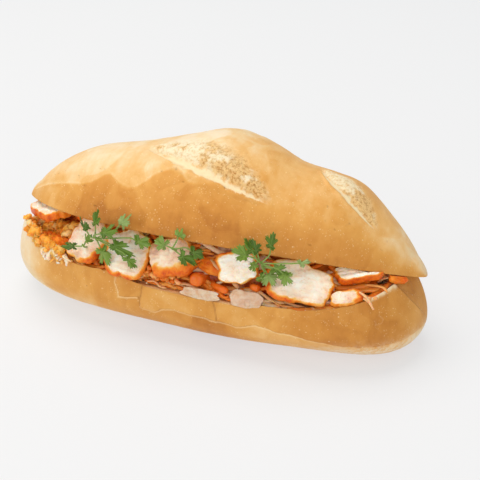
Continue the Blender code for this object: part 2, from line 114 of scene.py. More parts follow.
# Chicken slices: place, sizes and turns as in the solids. skin is (direction, half width, depth on the face),
# where the direction is in degrees round the slice from its right end, and pink is how pink the meat is.
SLICES = [
    sliced(-82, 47, 1, 27, 17, 5.2, 4, -38, -14, (-80, 80, 0.07), 0.2),
    sliced(-55.5, 43.6, 0, 20.5, 22.5, 4.5, -12, -8, 0, (-30, 55, 0.16), 0.42),
    sliced(-32.6, 43.1, 1.4, 23.2, 22.5, 4.5, 6, -10, 0, (-135, 75, 0.13), 0.2),
    sliced(-9.8, 45.5, 1.2, 22.5, 19, 7, 14, -10, 0, (-85, 70, 0.45), 0.5),
    sliced(8.8, 44.3, -2.8, 12.5, 6.4, 3.6, -14, 0, 0, (-90, 180, 0.9), 0.6),
    sliced(16.5, 53.5, -4.6, 14, 7.8, 3, 0, 0, 0, (90, 40, 0.1), 1.0),
    sliced(22.5, 46.8, 1.8, 19, 16, 4.2, 14, 0, 0, (120, 95, 0.16), 0.0),
    sliced(34.5, 47, -4, 11, 12, 3.2, -10, 0, 0, (-60, 120, 0.45), 0.6),
    sliced(51.2, 42.4, 1, 30, 20, 4.8, -8, -6, 0, (-150, 80, 0.15), 0.22),
    sliced(64, 44, -4.5, 10, 12, 3.2, 8, 0, 0, (0, 40, 0.1), 0.5),
    sliced(76.8, 45.2, 2, 23.8, 10, 4.4, -7, -12, 0, (-90, 95, 0.12), 0.1),
    sliced(74.2, 38.4, 1.2, 15, 7.4, 4, 5, -4, 0, (20, 90, 0.3), 0.32),
    sliced(92.5, 43, 1, 10, 6, 2.8, 0, -10, 0, (0, 180, 0.8), 0.6),
]
DAIKON = [
    sliced(6.5, 32.8, 1.5, 19, 5, 1, 0, 0, 0, (0, 0, 0.0), 0.3),
    sliced(29, 34.2, 1.5, 15, 8, 1, 0, 0, 0, (0, 0, 0.0), 0.6),
]
SHRED_LUMP = sliced(-79.5, 39.2, -3.4, 22, 9, 4, 0, -50, -10, (0, 180, 0.9), 0.3)
# Least and most x of the scattered scraps
SHRED_SPAN = (-0.0945, -0.068)
HIGH_SHRED_SPAN = (-0.0925, -0.064)
THREAD_SPAN = (-0.079, -0.065)
TANGLE_SPAN = (-0.066, 0.09)
SCRAP_SPAN = (-0.0265, -0.0065)
FLAKE_SPAN = (-0.06, 0.085)
ALL_SKIN = 0.75          # a skin deeper than this covers the whole piece
LOBES = [(0.0, 1.0), (0.92, 0.9), (-0.92, 0.9), (1.95, 0.64), (-1.95, 0.64)]
CARROTS = [
    Strip(*metres((3.3, [(4.8, 39.2, -16), (4, 38.7, -3), (3.6, 38.4, 2.8)]))),
    Strip(*metres((1.7, [(6, 39, -14), (10.5, 37.2, -4), (19.5, 36, 1.6)]))),
    Strip(*metres((1.7, [(29, 40, -16), (30.5, 39.5, -2), (34, 39, 0.5)]))),
]
STRANDS = [
    Strip(*metres((1, [(78, 41.5, -16), (81.5, 39.5, -1), (84.5, 38.2, 2.5)]))),
    Strip(*metres((0.9, [(79, 41, -16), (84, 39.5, -2), (87, 38.5, 1.5)]))),
    Strip(*metres((1, [(-8, 40, -14), (-7, 36.5, -1), (-4, 35.2, 1)]))),
]
# Long pickle strands that hang over the rim near the right end, each four (x, height, out) of the front
LONG_STRANDS = metres([
    [(70, 42, -6), (76.5, 41, 0.6), (83, 38.5, 2.4), (86.8, 35, 3)],
    [(76, 44, -6), (82, 43, -1), (88, 41.5, 0.8), (90, 39.5, 2.2)],
    [(72, 40, -6), (79, 39.5, 0.4), (82, 38.5, 1.6), (85, 37.2, 1.8)],
    [(86, 45, -7), (89, 44.5, -2), (92.5, 43, -0.5), (95, 42.8, 0)],
])
# Strips that fill the leaning front, at random: those between the slices, then those near the rim. Each pair is
# the least and the most; rise is a share of the way up the front and depth is how far out of it they lie.
TANGLES = [
    Tangle(150, 1.0, (0.008, 0.022), (0.02, 0.95), (-0.0056, -0.0022), (0.0018, 0.0034),
           [0.2, 0.5, 0.66, 0.8, 0.92, 1.0, 1.05, 1.12]),
    Tangle(42, 0.3, (0.006, 0.016), (-0.02, 0.16), (-0.0036, -0.0008), (0.0012, 0.0024),
           [0.5, 0.64, 0.74, 0.85, 1.0]),
]
SPRIGS = leaves([
    [
        ((-50, -38.5, 52), (-54.5, -40, 62), 6),
        ((-48, -38.5, 53), (-33, -43, 61), 10),
        ((-46.5, -38, 50), (-39.5, -41.5, 39), 11),
        ((-43.6, -40, 52.2), (-25, -44, 49.5), 9),
    ],
    [
        ((-56.2, -36.7, 44.6), (-66, -38.6, 44), 6),
        ((-54.4, -36.2, 45.4), (-51.2, -37.4, 52.2), 6),
    ],
    [
        ((-7, -42, 56), (-15, -44, 59), 10),
        ((-6, -41.5, 55), (5, -42, 48), 9),
    ],
    [
        ((34, -40, 57), (22, -43, 61), 10),
        ((35, -39.5, 57), (33, -42, 68), 9),
        ((37, -38.5, 52), (43, -40, 44), 11),
        ((37.5, -38, 52.5), (50, -40, 52), 8),
    ],
])
# Leaflets of the same sprigs that the solids do not have, at the photo's places
ADDED_LEAVES = leaves([
    [
        ((-31.7, -42.5, 49.2), (-24.2, -43.5, 41.8), 8),
        ((-47, -38.5, 55.5), (-46.5, -38.5, 66), 7),
        ((-36.5, -39.2, 58.3), (-28.5, -39, 68.5), 9),
        ((-29, -40, 56), (-18, -41, 54), 9),
    ],
    [],
    [
        ((-5, -40, 59), (-2.8, -39.5, 65.5), 8.5),
        ((-0.8, -39.5, 56), (8, -40.2, 52), 8),
    ],
    [
        ((34, -40.2, 57.2), (29, -42.5, 68), 6),
        ((35, -39.5, 56), (30, -41, 50.8), 6),
        ((37.5, -39, 50), (34.5, -40.5, 44.5), 5),
        ((52, -39.5, 58), (59, -40, 60), 6),
        ((44, -39.5, 53.5), (52.5, -41, 48), 9),
        ((40, -39.5, 60), (41.2, -38.5, 71), 8),
    ],
])
LEAF_TINTS = [
    [0.3, 0.5, 0.75, 0.45, 0.65, 0.45, 0.92, 0.55],
    [0.3, 0.7],
    [0.8, 0.4, 0.75, 0.3],
    [0.7, 0.3, 0.9, 0.5, 0.45, 0.75, 0.6, 0.95, 0.8, 0.4],
]
SLASHES = [
    Slash((-0.038, 0.0015), (0.036, -0.0205), 0.0085, 0.0078),
    Slash((0.047, 0.013), (0.082, -0.007), 0.006, 0.0062),
]
# Lower edge of the crust plates that have come loose on the base's front: (x, height)
PLATE_EDGE = metres([
    (-35, 23.5), (-25.2, 24.5), (-24.3, 19.7), (-17, 18.7), (-13.2, 21.3),
    (-8, 22.6), (3.8, 21.2), (14.9, 20.6), (24.8, 20), (34.6, 23.3),
    (46.5, 21), (55.8, 20.1), (73.5, 17.1), (100, 16),
])
PLATE_START = -0.035
PLATE_LEAN = 0.002
# Upper edge of the browner crust on the lid's left, as a share of the way round from the lip: a level and its
# swells, each (u, width, height). Above it the crust is paler, partly its own tone and partly a painted sheen.
TIDE_LEVEL = 0.138
TIDE_SWELLS = [(-0.5, 0.065, 0.062), (-0.19, 0.11, 0.082), (0.1, 0.12, 0.04)]
# Torn lip of crust that stands up at the rim: (x, height)
RIM_LIP = metres([
    (-105, 4), (-83, 3), (-60, 2.2), (-43, 3.6), (-35, 2.6), (-19, 0.4),
    (0, 0), (28, 0), (38, 2.2), (70, 2.4), (90.5, 2.4), (100, 1),
])
LIP_THICKNESS = 0.0012
BACK_INSET = 0.00022     # keeps the relief of the lid's back inside the solids' box
# Cracks between the plates: (x at the lower edge, x at the rim)
PLATE_CRACKS = [(-0.025, -0.0225), (0.0155, 0.0132)]

# The photo's view: angles in degrees, and pixels of the photo
VIEW_RIGHT, VIEW_ABOVE = 21, 29
VIEW_DISTANCE = 0.75
VIEW_CENTRE = (0.0, 0.0, 0.04)
PHOTO_PIXELS, FOCAL_PIXELS = 480, 1540
ROLL_LEFT_PIXELS, ROLL_ABOVE_PIXELS = 22, 1   # from the picture's centre to the roll's middle
SENSOR_WIDTH = 36.0


def smooth(value, low, high):
    t = np.clip((value - low) / (high - low), 0.0, 1.0)
    return t * t * (3 - 2 * t)


def hump(u, centre, width):
    return np.exp(-((u - centre) / width) ** 2)


def signed_power(value, power):
    return np.sign(value) * np.abs(value) ** power


def unit(vectors):
    return vectors / np.maximum(np.linalg.norm(vectors, axis=-1, keepdims=True), 1e-9)


def stacked(*columns):
    return np.stack(columns, axis=-1)


def field(points, size, seed=0.0):
    """Smooth noise from -1 to 1 at each point, with that grain."""
    shift = Vector((seed, seed * 0.37, 0))
    return np.array([noise.noise(Vector(point) / size + shift) for point in points])


def rugged(points, size, seed=0.0):
    """Noise with four finer layers, about -1 to 1."""
    shift = Vector((seed, seed * 0.37, 0))
    return np.array([noise.fractal(Vector(point) / size + shift, 0.8, 2.1, 4) for point in points])


def plan(u, roundness, bluntness):
    return np.maximum(0.0, 1 - np.abs(u) ** roundness) ** bluntness


def base_u(x):
    """Place along the base, from -1 at the left tip to 1 at the right one."""
    return np.clip(2 * x / BASE_LENGTH, -1, 1)


def lid_u(x):
    return np.clip(2 * (x - LID_OFFSET) / LID_LENGTH, -1, 1)


def base_half_width(u, front):
    roundness = np.where(front, np.where(u > 0, 4.6, 3.6), np.where(u > 0, 2.3, 3.0))
    return BASE_WIDTH / 2 * plan(u, roundness, 0.5) * (1 + 0.05 * u)


def widest_height(u):
    return WIDEST_HEIGHT - np.where(u > 0, WIDEST_SINK_RIGHT, WIDEST_SINK_LEFT) * u ** 4


def wall_height(u):
    return np.maximum(WALL_HEIGHT * plan(u, 2.6, 0.55), 1e-6)


def cut_height(u):
    return CUT_HEIGHT + np.where(u > 0, CUT_RISE_RIGHT, CUT_RISE_LEFT) * u ** 4


def rim_height(u):
    return np.minimum(cut_height(u), widest_height(u) + 0.85 * wall_height(u))


def floor_height(x, y):
    u = base_u(x)
    across = np.minimum(1.0, np.abs(y) / np.maximum(base_half_width(u, y < 0), 1e-6))
    return rim_height(u) - CUT_DISH * (1 - across ** 2) * (1 - u ** 4)


def base_outline(u, s):
    """(y, z) of the base's crust, from the front rim (s = 0) under it to the back rim (s = 1)."""
    half, wall, widest, rim = base_half_width(u, s < 0.5), wall_height(u), widest_height(u), rim_height(u)
    side = np.where(s < 0.5, -1.0, 1.0)
    edge = np.minimum(s, 1 - s)
    wall_z = rim + (widest - rim) * edge / WALL_SHARE
    wall_y = side * half * np.sqrt(np.maximum(0.0, 1 - ((wall_z - widest) / wall) ** 2))
    a = pi * np.clip((s - WALL_SHARE) / (1 - 2 * WALL_SHARE), 0.0, 1.0)
    tuck = 0.08 * hump(u, -0.4, 0.35) + 0.19 * hump(u, 0.66, 0.36) + 0.17 * hump(u, -0.86, 0.24)
    under_y = -half * (1 - tuck * np.sin(a) * (s < 0.5)) * signed_power(np.cos(a), 0.88)
    depth = widest * np.sqrt(np.maximum(0.0, 1 - np.abs(u) ** 10))
    under_z = np.maximum(widest - depth * np.abs(np.sin(a)) ** 0.88, FOOT_DEPTH)
    wall = edge < WALL_SHARE
    return np.where(wall, wall_y, under_y), np.where(wall, wall_z, under_z)


def crown_height(u):
    height = CROWN_HEIGHT * plan(u, 2.3, np.where(u > 0, 0.65, 0.6))
    swells = 0.0045 * hump(u, 0.0, 0.18) + 0.0022 * hump(u, 0.64, 0.1)
    dips = 0.003 * hump(u, 0.36, 0.13) + 0.0032 * hump(u, -0.42, 0.25)
    return height + (swells - dips) * smooth(1 - np.abs(u), 0.0, 0.06)


def lid_back_width(u):
    return (LID_WIDTH / 2 + LID_OVERHANG) * plan(u, np.where(u > 0, 2.3, 2.9), 0.5) * (1 + 0.04 * u)


def lid_outline(u, s):
    """(y, z) of the closed lid's crust, from the front lip (s = 0) over it to the back (s = 1)."""
    half = np.where(s < 0.5, LID_WIDTH / 2 * plan(u, 2.1, 0.62), lid_back_width(u))
    height = np.maximum(crown_height(u), 1e-6)
    start = np.arcsin(np.minimum(0.4, LIP_START / height) ** 1.025)
    a = start + (pi - 2 * start) * s
    y = -half * signed_power(np.cos(a), 0.976)
    return y, CUT_HEIGHT + height * (np.sin(a) ** 0.976 - np.sin(start) ** 0.976)


def lid_lift(u):
    return 0.0015 * (1 - u * u) - 0.0032 * np.maximum(u, 0.0) ** 2.5 + 0.005 * np.maximum(-u, 0.0) ** 3


def hinge_drop(u, y):
    back = HINGE_Y + (lid_back_width(u) - HINGE_Y) * cos(OPEN_ANGLE)
    free = CUT_HEIGHT + (HINGE_Y - back) * math.tan(OPEN_ANGLE) + lid_lift(u)
    need = np.maximum(0.0, free - cut_height(u) + 0.003)
    high = 0.95 * np.maximum(back, 1e-4)
    t = np.clip((y - 0.35 * back) / (high - 0.35 * back), 0.0, 1.0)
    return need * t * t * (3 - 2 * t) * smooth(1 - np.abs(u), 0.05, 0.18)


def roof_height(x, y):
    u = lid_u(x)
    return CUT_HEIGHT + (HINGE_Y - y) * math.tan(OPEN_ANGLE) + lid_lift(u) - hinge_drop(u, y)


def open_lid(u, y, z):
    """Place of a point of the closed lid once the lid is open, as an array of (x, y, z)."""
    across, up = y - HINGE_Y, z - CUT_HEIGHT
    new_y = HINGE_Y + across * cos(OPEN_ANGLE) + up * sin(OPEN_ANGLE)
    new_z = CUT_HEIGHT - across * sin(OPEN_ANGLE) + up * cos(OPEN_ANGLE) + lid_lift(u)
    held = 1 - smooth(up, 0.0, 0.035)
    x = u * LID_LENGTH / 2 + LID_OFFSET + 0 * new_y
    return stacked(x, new_y, new_z - hinge_drop(u, new_y) * held)


def slash_shape(points):
    """Relief, ivory band and rough crumb of the slashes at points of the lid."""
    x, y = points[:, 0], points[:, 1]
    wobble = field(points, 0.006, 5.0)
    ridge = rugged(points, 0.0028, 9.0)
    relief, pale, rough, tan = (np.zeros(len(x)) for _ in range(4))
    for slash in SLASHES:
        dx, dy = slash.end[0] - slash.start[0], slash.end[1] - slash.start[1]
        s = ((x - slash.start[0]) * dx + (y - slash.start[1]) * dy) / (dx * dx + dy * dy)
        off = y - (slash.start[1] + dy * s)
        swell = np.sin(pi * np.clip(s, 0.001, 0.999)) ** 0.8
        reach = np.where(off > 0, slash.upper, slash.lower)
        a = off / (reach * swell) + 0.1 * wobble
        here = smooth(swell, 0.1, 0.5) * (s > 0) * (s < 1)
        ear = 0.0008 * hump(a, -1.16, 0.18)
        band = -0.0014 * smooth(a, -1.06, -0.92) * (1 - smooth(a, -0.7, -0.2))
        dome = 0.0011 * hump(a, 0.3, 0.5)
        inside = smooth(a, -0.72, -0.5) * (1 - smooth(a + 0.35 * ridge, 0.55, 1.6))
        relief += here * (ear + band + dome + 0.0005 * inside * ridge)
        torn = a + 0.1 * field(points, 0.0022, 3.0)
        pale = np.maximum(pale, here * smooth(torn, -1.06, -0.98) * (1 - smooth(a + 0.3 * ridge, -0.76, -0.5)))
        rough = np.maximum(rough, here * inside)
        tan = np.maximum(tan, here * smooth(s, 0.35, 0.75))
    return relief, pale, rough, tan


def front_first(t, amount):
    """Spreads the ring's points so that the front has more of them than the back."""
    return t * (1 - amount) + t * t * amount


def lid_surface(u, t):
    """Points of the lid and their masks; t runs round the crust, then back along the cut face."""
    crust = t <= CRUST_SHARE
    s = front_first(np.clip(t / CRUST_SHARE, 0.0, 1.0), 0.3)
    place = open_lid(u, *lid_outline(u, s))
    middle = np.sin(pi * s)
    out = unit(stacked(0 * u, place[:, 1] - 0.012, place[:, 2] - 0.045))
    slash, pale, rough, tan = slash_shape(place)
    keep = smooth(middle, 0.2, 0.5)
    relief = slash * keep + 0.0006 * middle * field(place, 0.022, 3.1)
    relief += 0.00018 * middle * field(place, 0.0065, 8.0) + 0.00008 * rugged(place, 0.003, 2.0)
    relief = relief * plan(u, 2, 1) - BACK_INSET * smooth(s, 0.7, 0.85)
    place = place + out * relief[:, None] * crust[:, None]

    back, front = open_lid(u, *lid_outline(u, 1.0 + 0 * u)), open_lid(u, *lid_outline(u, 0 * u))
    share = np.clip((t - CRUST_SHARE) / (1 - CRUST_SHARE), 0.0, 1.0)[:, None]
    cut = back + (front - back) * share
    cut[:, 2] = roof_height(cut[:, 0], cut[:, 1])
    pores = rugged(cut, 0.003, 12.0) * np.sin(pi * share[:, 0])
    cut[:, 2] += 0.0006 * np.maximum(pores, -0.2)
    place = np.where(crust[:, None], place, cut)

    height = smooth(s, 0.0, 0.3) * (s < 0.5) + (1 - smooth(s, 0.7, 1.0)) * (s >= 0.5)
    line = TIDE_LEVEL + sum(rise * hump(u, centre, width) for centre, width, rise in TIDE_SWELLS)
    above = s - line + 0.01 * field(place, 0.009, 17.0) + 0.003 * field(place, 0.0025, 1.0)
    left = 1 - smooth(u, -0.1, 0.15)
    brown = 0.7 - 0.4 * height - 0.13 * hump(u, 0.0, 0.28) * smooth(s, 0.22, 0.4) * (1 - smooth(s, 0.5, 0.75))
    # Browner right of the middle and along the lower front by the lip: painted shade, away from the light and where
    # the lip faces down.
    brown += 0.1 * hump(u, 0.4, 0.22) * smooth(s, 0.12, 0.25) - 0.18 * smooth(u, 0.68, 0.97)
    brown += 0.11 * (s < 0.5) * (1 - smooth(s, 0.04, 0.2)) * hump(u, 0.18, 0.55)
    # Paler on the lower left by the lip: painted light from the left.
    brown -= 0.34 * smooth(-u, 0.58, 0.85) * (s < 0.5) * (1 - smooth(s, 0.1, 0.2))
    # Left of the middle the crust is browner below the tide line and paler above it, partly its own tone and partly a
    # painted sheen.
    left = left * (1 - smooth(s, 0.4, 0.72))
    brown += left * (0.05 - 0.24 * smooth(above, -0.006, 0.01) - 0.05 * hump(above, 0.01, 0.004))
    brown += 0.06 * field(place, 0.03, 21.0) + 0.05 * field(place, 0.01, 4.0)
    return place, {"brown": brown, "pale": pale * keep, "rough": rough * keep, "tan": tan,
                   "crumb": np.where(crust, 0.0, 1.0)}


def plate_shape(points, outer):
    """Relief of the loose crust plates on the base's front, their broken edge with a painted highlight and painted
    shadow lines, and the crust they cover.
    """
    x, z = points[:, 0], points[:, 2]
    wobble = 0.001 * field(points, 0.006, 6.0) + 0.0003 * field(points, 0.0016, 2.0)
    edge_x, edge_z = zip(*PLATE_EDGE)
    above = z - np.interp(x, edge_x, edge_z) + wobble
    right = x - PLATE_START + PLATE_LEAN * smooth(z, 0.023, 0.031) + wobble
    inside = np.minimum(above, right)
    front = (points[:, 1] < 0) * outer
    fade = 1 - smooth(x, 0.055, 0.09)
    cover = smooth(inside, 0.0, 0.0005) * front
    rim_z = np.maximum(rim_height(base_u(x)), 0.025)
    rise = np.clip(above / np.maximum(rim_z - np.interp(x, edge_x, edge_z), 1e-4), 0, 1)
    crack = np.zeros(len(x))
    height = np.full(len(x), 0.00055)
    for index, (low_x, high_x) in enumerate(PLATE_CRACKS):
        line = low_x + (high_x - low_x) * rise + wobble
        crack = np.maximum(crack, hump(x, line, 0.00035))
        if index == 0:
            height = np.where(x < line, 0.00025, height)
    relief = (height * cover - 0.0006 * crack * cover) * fade
    # Pale line just outside the plates' edges, partly the exposed crumb of the broken edge and partly a painted
    # highlight; the negative part is dark cracks between the plates and a painted shadow line just inside the plates'
    # edges.
    broken = hump(inside, -0.0004, 0.0004) * front * fade
    return relief, broken - np.maximum(crack * cover, 0.6 * hump(inside, 0.0001, 0.0003) * front) * fade, cover


def base_surface(u, t):
    """Points of the base and their masks, in the same way."""
    crust = t <= CRUST_SHARE
    s = front_first(np.clip(t / CRUST_SHARE, 0.0, 1.0), 0.45)
    y, z = base_outline(u, s)
    lip_x, lip_rise = zip(*RIM_LIP)
    lip = np.interp(u * BASE_LENGTH / 2, lip_x, lip_rise)
    lip = lip * (1 + 0.25 * field(stacked(u * BASE_LENGTH / 2, 0 * u, 0 * u), 0.004, 2.0))
    rise = lip * (1 - smooth(s, 0.0, 0.1))
    place = stacked(u * BASE_LENGTH / 2, y + 0.35 * rise, z + rise)
    out = unit(stacked(0 * u, y, z - 0.03))
    side = np.sin(pi * s) * smooth(z, 0.002, 0.01)
    plate, broken, cover = plate_shape(place, crust)
    relief = 0.0006 * side * field(place, 0.024, 7.7) + 0.00015 * side * field(place, 0.006, 1.0)
    relief += plate * smooth(z, 0.002, 0.01) + 0.00008 * side * rugged(place, 0.003, 4.0)
    place = place + out * relief[:, None] * crust[:, None]

    back_y, front_y = base_outline(u, 1.0 + 0 * u)[0], base_outline(u, 0 * u)[0]
    share = np.clip((t - CRUST_SHARE) / (1 - CRUST_SHARE), 0.0, 1.0)
    cut_y = back_y + (front_y - back_y) * share
    edge = smooth(share, 1 - LIP_THICKNESS / 0.04, 1.0)
    cut = stacked(u * BASE_LENGTH / 2, cut_y, floor_height(u * BASE_LENGTH / 2, cut_y))
    cut[:, 2] += 0.0005 * np.minimum(rugged(cut, 0.0028, 15.0), 0.2) * np.sin(pi * share)
    cut[:, 1] += 0.35 * lip * edge
    cut[:, 2] += lip * edge
    place = np.where(crust[:, None], place, cut)

    x, z = place[:, 0], place[:, 2]
    bare = (1 - cover) * (y < 0)
    # Browner towards the right and much paler at the left end: painted shade and painted light, as the light comes
    # from the left.
    brown = 0.51 + 0.17 * smooth(x, 0.02, 0.07) - 0.06 * cover * hump(x, 0.012, 0.022)
    brown -= (0.5 - 0.22 * smooth(y, -0.01, 0.02)) * smooth(-x, 0.066, 0.096)
    brown -= 0.2 * smooth(x, 0.094, 0.104)
    brown += bare * (0.18 * smooth(x, -0.04, -0.02) * (1 - smooth(x, 0.01, 0.04)) - 0.3 * smooth(x, 0.02, 0.05))
    # Paler low on the left: painted light from the left.
    brown -= 0.27 * (1 - smooth(z, 0.006, 0.018)) * smooth(-x, 0.03, 0.05)
    # Paler cut face on the right half: painted light in the lid's shadow.
    brown -= 0.22 * (1 - crust) * smooth(x, 0.0, 0.01) * (1 - smooth(x, 0.086, 0.095))
    # Browner along the bottom edge, partly the browner baked bottom and partly painted shade under the roll.
    brown += 0.2 * (1 - smooth(z, 0.0005, 0.005)) + 0.07 * field(place, 0.028, 2.0) + 0.04 * field(place, 0.009, 5.0)
    floury = smooth(x, 0.045, 0.085) * hump(z, 0.0105, 0.0055) * (1.15 + 0.5 * rugged(place, 0.012, 3.0))
    inner = np.where(crust, 0.0, 1 - smooth(np.abs(x), 0.084, 0.093))
    ragged = 0.5 + 1.2 * field(place, 0.003, 11.0)
    ends = smooth(x, 0.083, 0.087) * (1 - smooth(x, 0.0925, 0.0945)) + 0.8 * smooth(-x, 0.088, 0.093)
    ends = np.clip(ends * (0.6 + ragged), 0, 1)
    torn = ends * np.where(crust, (1 - smooth(s, 0.004, 0.014)) * (y < 0), hump(share, 0.985, 0.015))
    return place, {"brown": brown, "pale": torn, "flour": np.clip(floury, 0, 1), "crumb": inner, "plate": broken,
                   "stain": smooth(share, 0.7, 0.97)}


def sphere(name, around, rings):
    """New mesh of a ball of radius 1, and its points."""
    bm = bmesh.new()
    bmesh.ops.create_uvsphere(bm, u_segments=around, v_segments=rings, radius=1.0)
    mesh = bpy.data.meshes.new(name)
    bm.to_mesh(mesh)
    bm.free()
    points = np.empty(len(mesh.vertices) * 3, dtype=np.float32)
    mesh.vertices.foreach_get("co", points)
    return mesh, points.reshape(-1, 3).astype(float)


def net(name, points, faces):
    """New mesh of those faces, all turned outwards."""
    mesh = bpy.data.meshes.new(name)
    mesh.from_pydata([tuple(point) for point in points], [], faces)
    bm = bmesh.new()
    bm.from_mesh(mesh)
    bmesh.ops.recalc_face_normals(bm, faces=bm.faces)
    bm.to_mesh(mesh)
    bm.free()
    return mesh


def put_masks(mesh, masks):
    for name, values in masks.items():
        layer = mesh.attributes.new(name, "FLOAT", "POINT")
        layer.data.foreach_set("value", np.asarray(values, dtype=np.float32))


def new_object(name, data):
    item = bpy.data.objects.new(name, data)
    bpy.context.scene.collection.objects.link(item)
    return item


def new_piece(mesh, masks, material, slot, *nodes, place=None):
    """Piece of that mesh, with its points moved to their place where one is given."""
    if place is not None:
        mesh.vertices.foreach_set("co", np.asarray(place, dtype=np.float32).ravel())
    put_masks(mesh, masks)
    mesh.update()
    piece = new_object(mesh.name, mesh)
    mesh.materials.append(material)
    mesh.shade_smooth()
    made.append((piece, slot, nodes))
    return piece


def loaf(name, stations, ring, surface, material, *nodes):
    """Closed loaf from a sphere with its poles at the tips."""
    mesh, ball = sphere(name, ring, stations)
    turn = np.arctan2(ball[:, 1], ball[:, 0]) / tau % 1.0
    t = np.round(turn * ring) % ring / ring
    polar = np.arccos(np.clip(ball[:, 2], -1, 1)) / pi
    u = 0.45 * ball[:, 2] + 0.55 * (1 - 2 * polar)
    place, masks = surface(np.clip(u, -1, 1), t)
    new_piece(mesh, masks, material, "crust", *nodes, place=place)


def front_frame(x):
    """Leaning front of the filling at x: foot on the rim, direction along it, up it and out of it."""
    def foot(at):
        y, z = base_outline(2 * at / BASE_LENGTH, 0.0)
        return np.array([at, float(y) + FRONT_INSET, float(z) + FRONT_INSET])

    def head(at):
        u = 2 * (at - LID_OFFSET) / LID_LENGTH
        lip = open_lid(u, *lid_outline(u, 0.0))
        y = lip[1] + FRONT_LEAN
        return np.array([at, y, max(lip[2] - HEAD_DROP, foot(at)[2] + LEAST_SLOPE * (y - foot(at)[1]))])

    step = 0.003
    start, up = foot(x), head(x) - foot(x)
    along = unit(foot(x + step) + head(x + step) - foot(x - step) - head(x - step))
    return start, along, up, unit(np.cross(along, up))


def on_front(x, height, out=0.0):
    start, _, up, outward = front_frame(x)
    return start + up * (height - start[2]) / up[2] + outward * out


def press(points, spare=GAP):
    """Points moved clear of the two cut faces."""
    points = np.atleast_2d(points).copy()
    x, y, z = points.T
    rim = base_outline(base_u(x), 0 * x)[0]
    low, high = floor_height(x, y) + spare, roof_height(x, y) - spare
    z = np.where(y > rim - spare, np.maximum(z, low), z)
    u = lid_u(x)
    lip = open_lid(u, *lid_outline(u, 0 * u))[:, 1]
    under = (np.abs(u) < 1) & (y > lip - UNDER_LIP)
    points[:, 2] = np.where(under, np.maximum(np.minimum(z, high), np.minimum(z, low)), z)
    return points


def slab(name, piece, seed, material, slot, *nodes, fine=1.0):
    """Slice with a ragged outline that leans in the slit, and its masks for skin and grain."""
    mesh, ball = sphere(name, 112, 56)
    angle = np.arctan2(ball[:, 1], ball[:, 0])
    q = 1 - np.abs(2 * np.arccos(np.clip(ball[:, 2], -1, 1)) / pi - 1)
    reach = 1 - (1 - q) ** 1.9
    face = np.where(ball[:, 2] >= 0, 1.0, -1.0) * np.maximum(0.0, 1 - reach ** 6.67) ** 0.25
    around = stacked(1.7 * np.cos(angle), 1.7 * np.sin(angle), seed + 0 * angle)
    ragged = 1 + 0.2 * field(around, 1.0)
    ragged += fine * 0.06 * field(around * 2.6, 1.0, 3.0) - fine * 0.03 * np.abs(field(around * 7.0, 1.0, 8.0))
    square = np.maximum(np.abs(np.cos(angle)) ** 3 + np.abs(np.sin(angle)) ** 3, 0.5) ** (-1 / 3)
    x = piece.wide / 2 * reach * ragged * square * np.cos(angle)
    y = piece.tall / 2 * reach * ragged * square * np.sin(angle)
    flat = stacked(x, y, 0 * x)
    grain = rugged(flat * np.array([1.0, 2.6, 1.0]), 0.0045, seed)
    crease = np.abs(field(flat * np.array([1.0, 1.8, 1.0]), 0.0055, seed + 12.0)) ** 0.6
    relief = fine * (0.00034 * grain + 0.001 * crease) * np.abs(face)
    z = piece.thick / 2 * face + 0.0012 * field(flat, 0.0065, seed + 5.0) + relief
    local = stacked(x, y, z)

    _, along, _, out = front_frame(piece.along)
    basis = Matrix((along, np.cross(out, along), out)).transposed()
    turn = Matrix.Rotation(radians(piece.yaw), 3, "Y") @ Matrix.Rotation(radians(piece.tip), 3, "X")
    turn = np.array(basis @ turn @ Matrix.Rotation(radians(piece.spin), 3, "Z"))
    place = press(on_front(piece.along, piece.height, piece.out) + local @ turn.T)

    centre, half, depth = piece.skin
    away = np.abs((np.degrees(angle) - centre + 180) % 360 - 180)
    rag = field(flat, 0.0035, seed + 3.0)
    arc = 1 - smooth(away + 22 * rag, half - 30, half + 20)
    width = np.maximum(depth * (1 + 0.4 * rag), 0.02)
    band = 0.85 * arc * smooth(reach, 1 - 1.7 * width, 1 - 0.25 * width)
    band = np.where(depth > ALL_SKIN, 0.72 + 0.25 * rag, band)
    ring = (0.54 + 0.28 * rag) * smooth(reach, 0.88 + 0.06 * rag, 0.985)
    masks = {"skin": np.maximum(band, ring), "pink": piece.pink + 0.3 * field(flat, 0.006, seed + 9.0),
             "edge": smooth(reach, 0.45, 1.0) + 0.3 * rag}
    new_piece(mesh, masks, material, slot, *nodes, place=place)


def smooth_path(points, count):
    """Evenly spaced points on a smooth curve through the given ones."""
    points = np.array(points, dtype=float)
    padded = np.vstack([2 * points[0] - points[1], points, 2 * points[-1] - points[-2]])
    out = []
    for at in np.linspace(0, len(points) - 1 - 1e-9, count):
        k, f = int(at), at % 1
        p0, p1, p2, p3 = padded[k:k + 4]
        out.append(0.5 * (2 * p1 + (p2 - p0) * f + (2 * p0 - 5 * p1 + 4 * p2 - p3) * f ** 2
                          + (3 * p1 - p0 - 3 * p2 + p3) * f ** 3))
    return np.array(out)


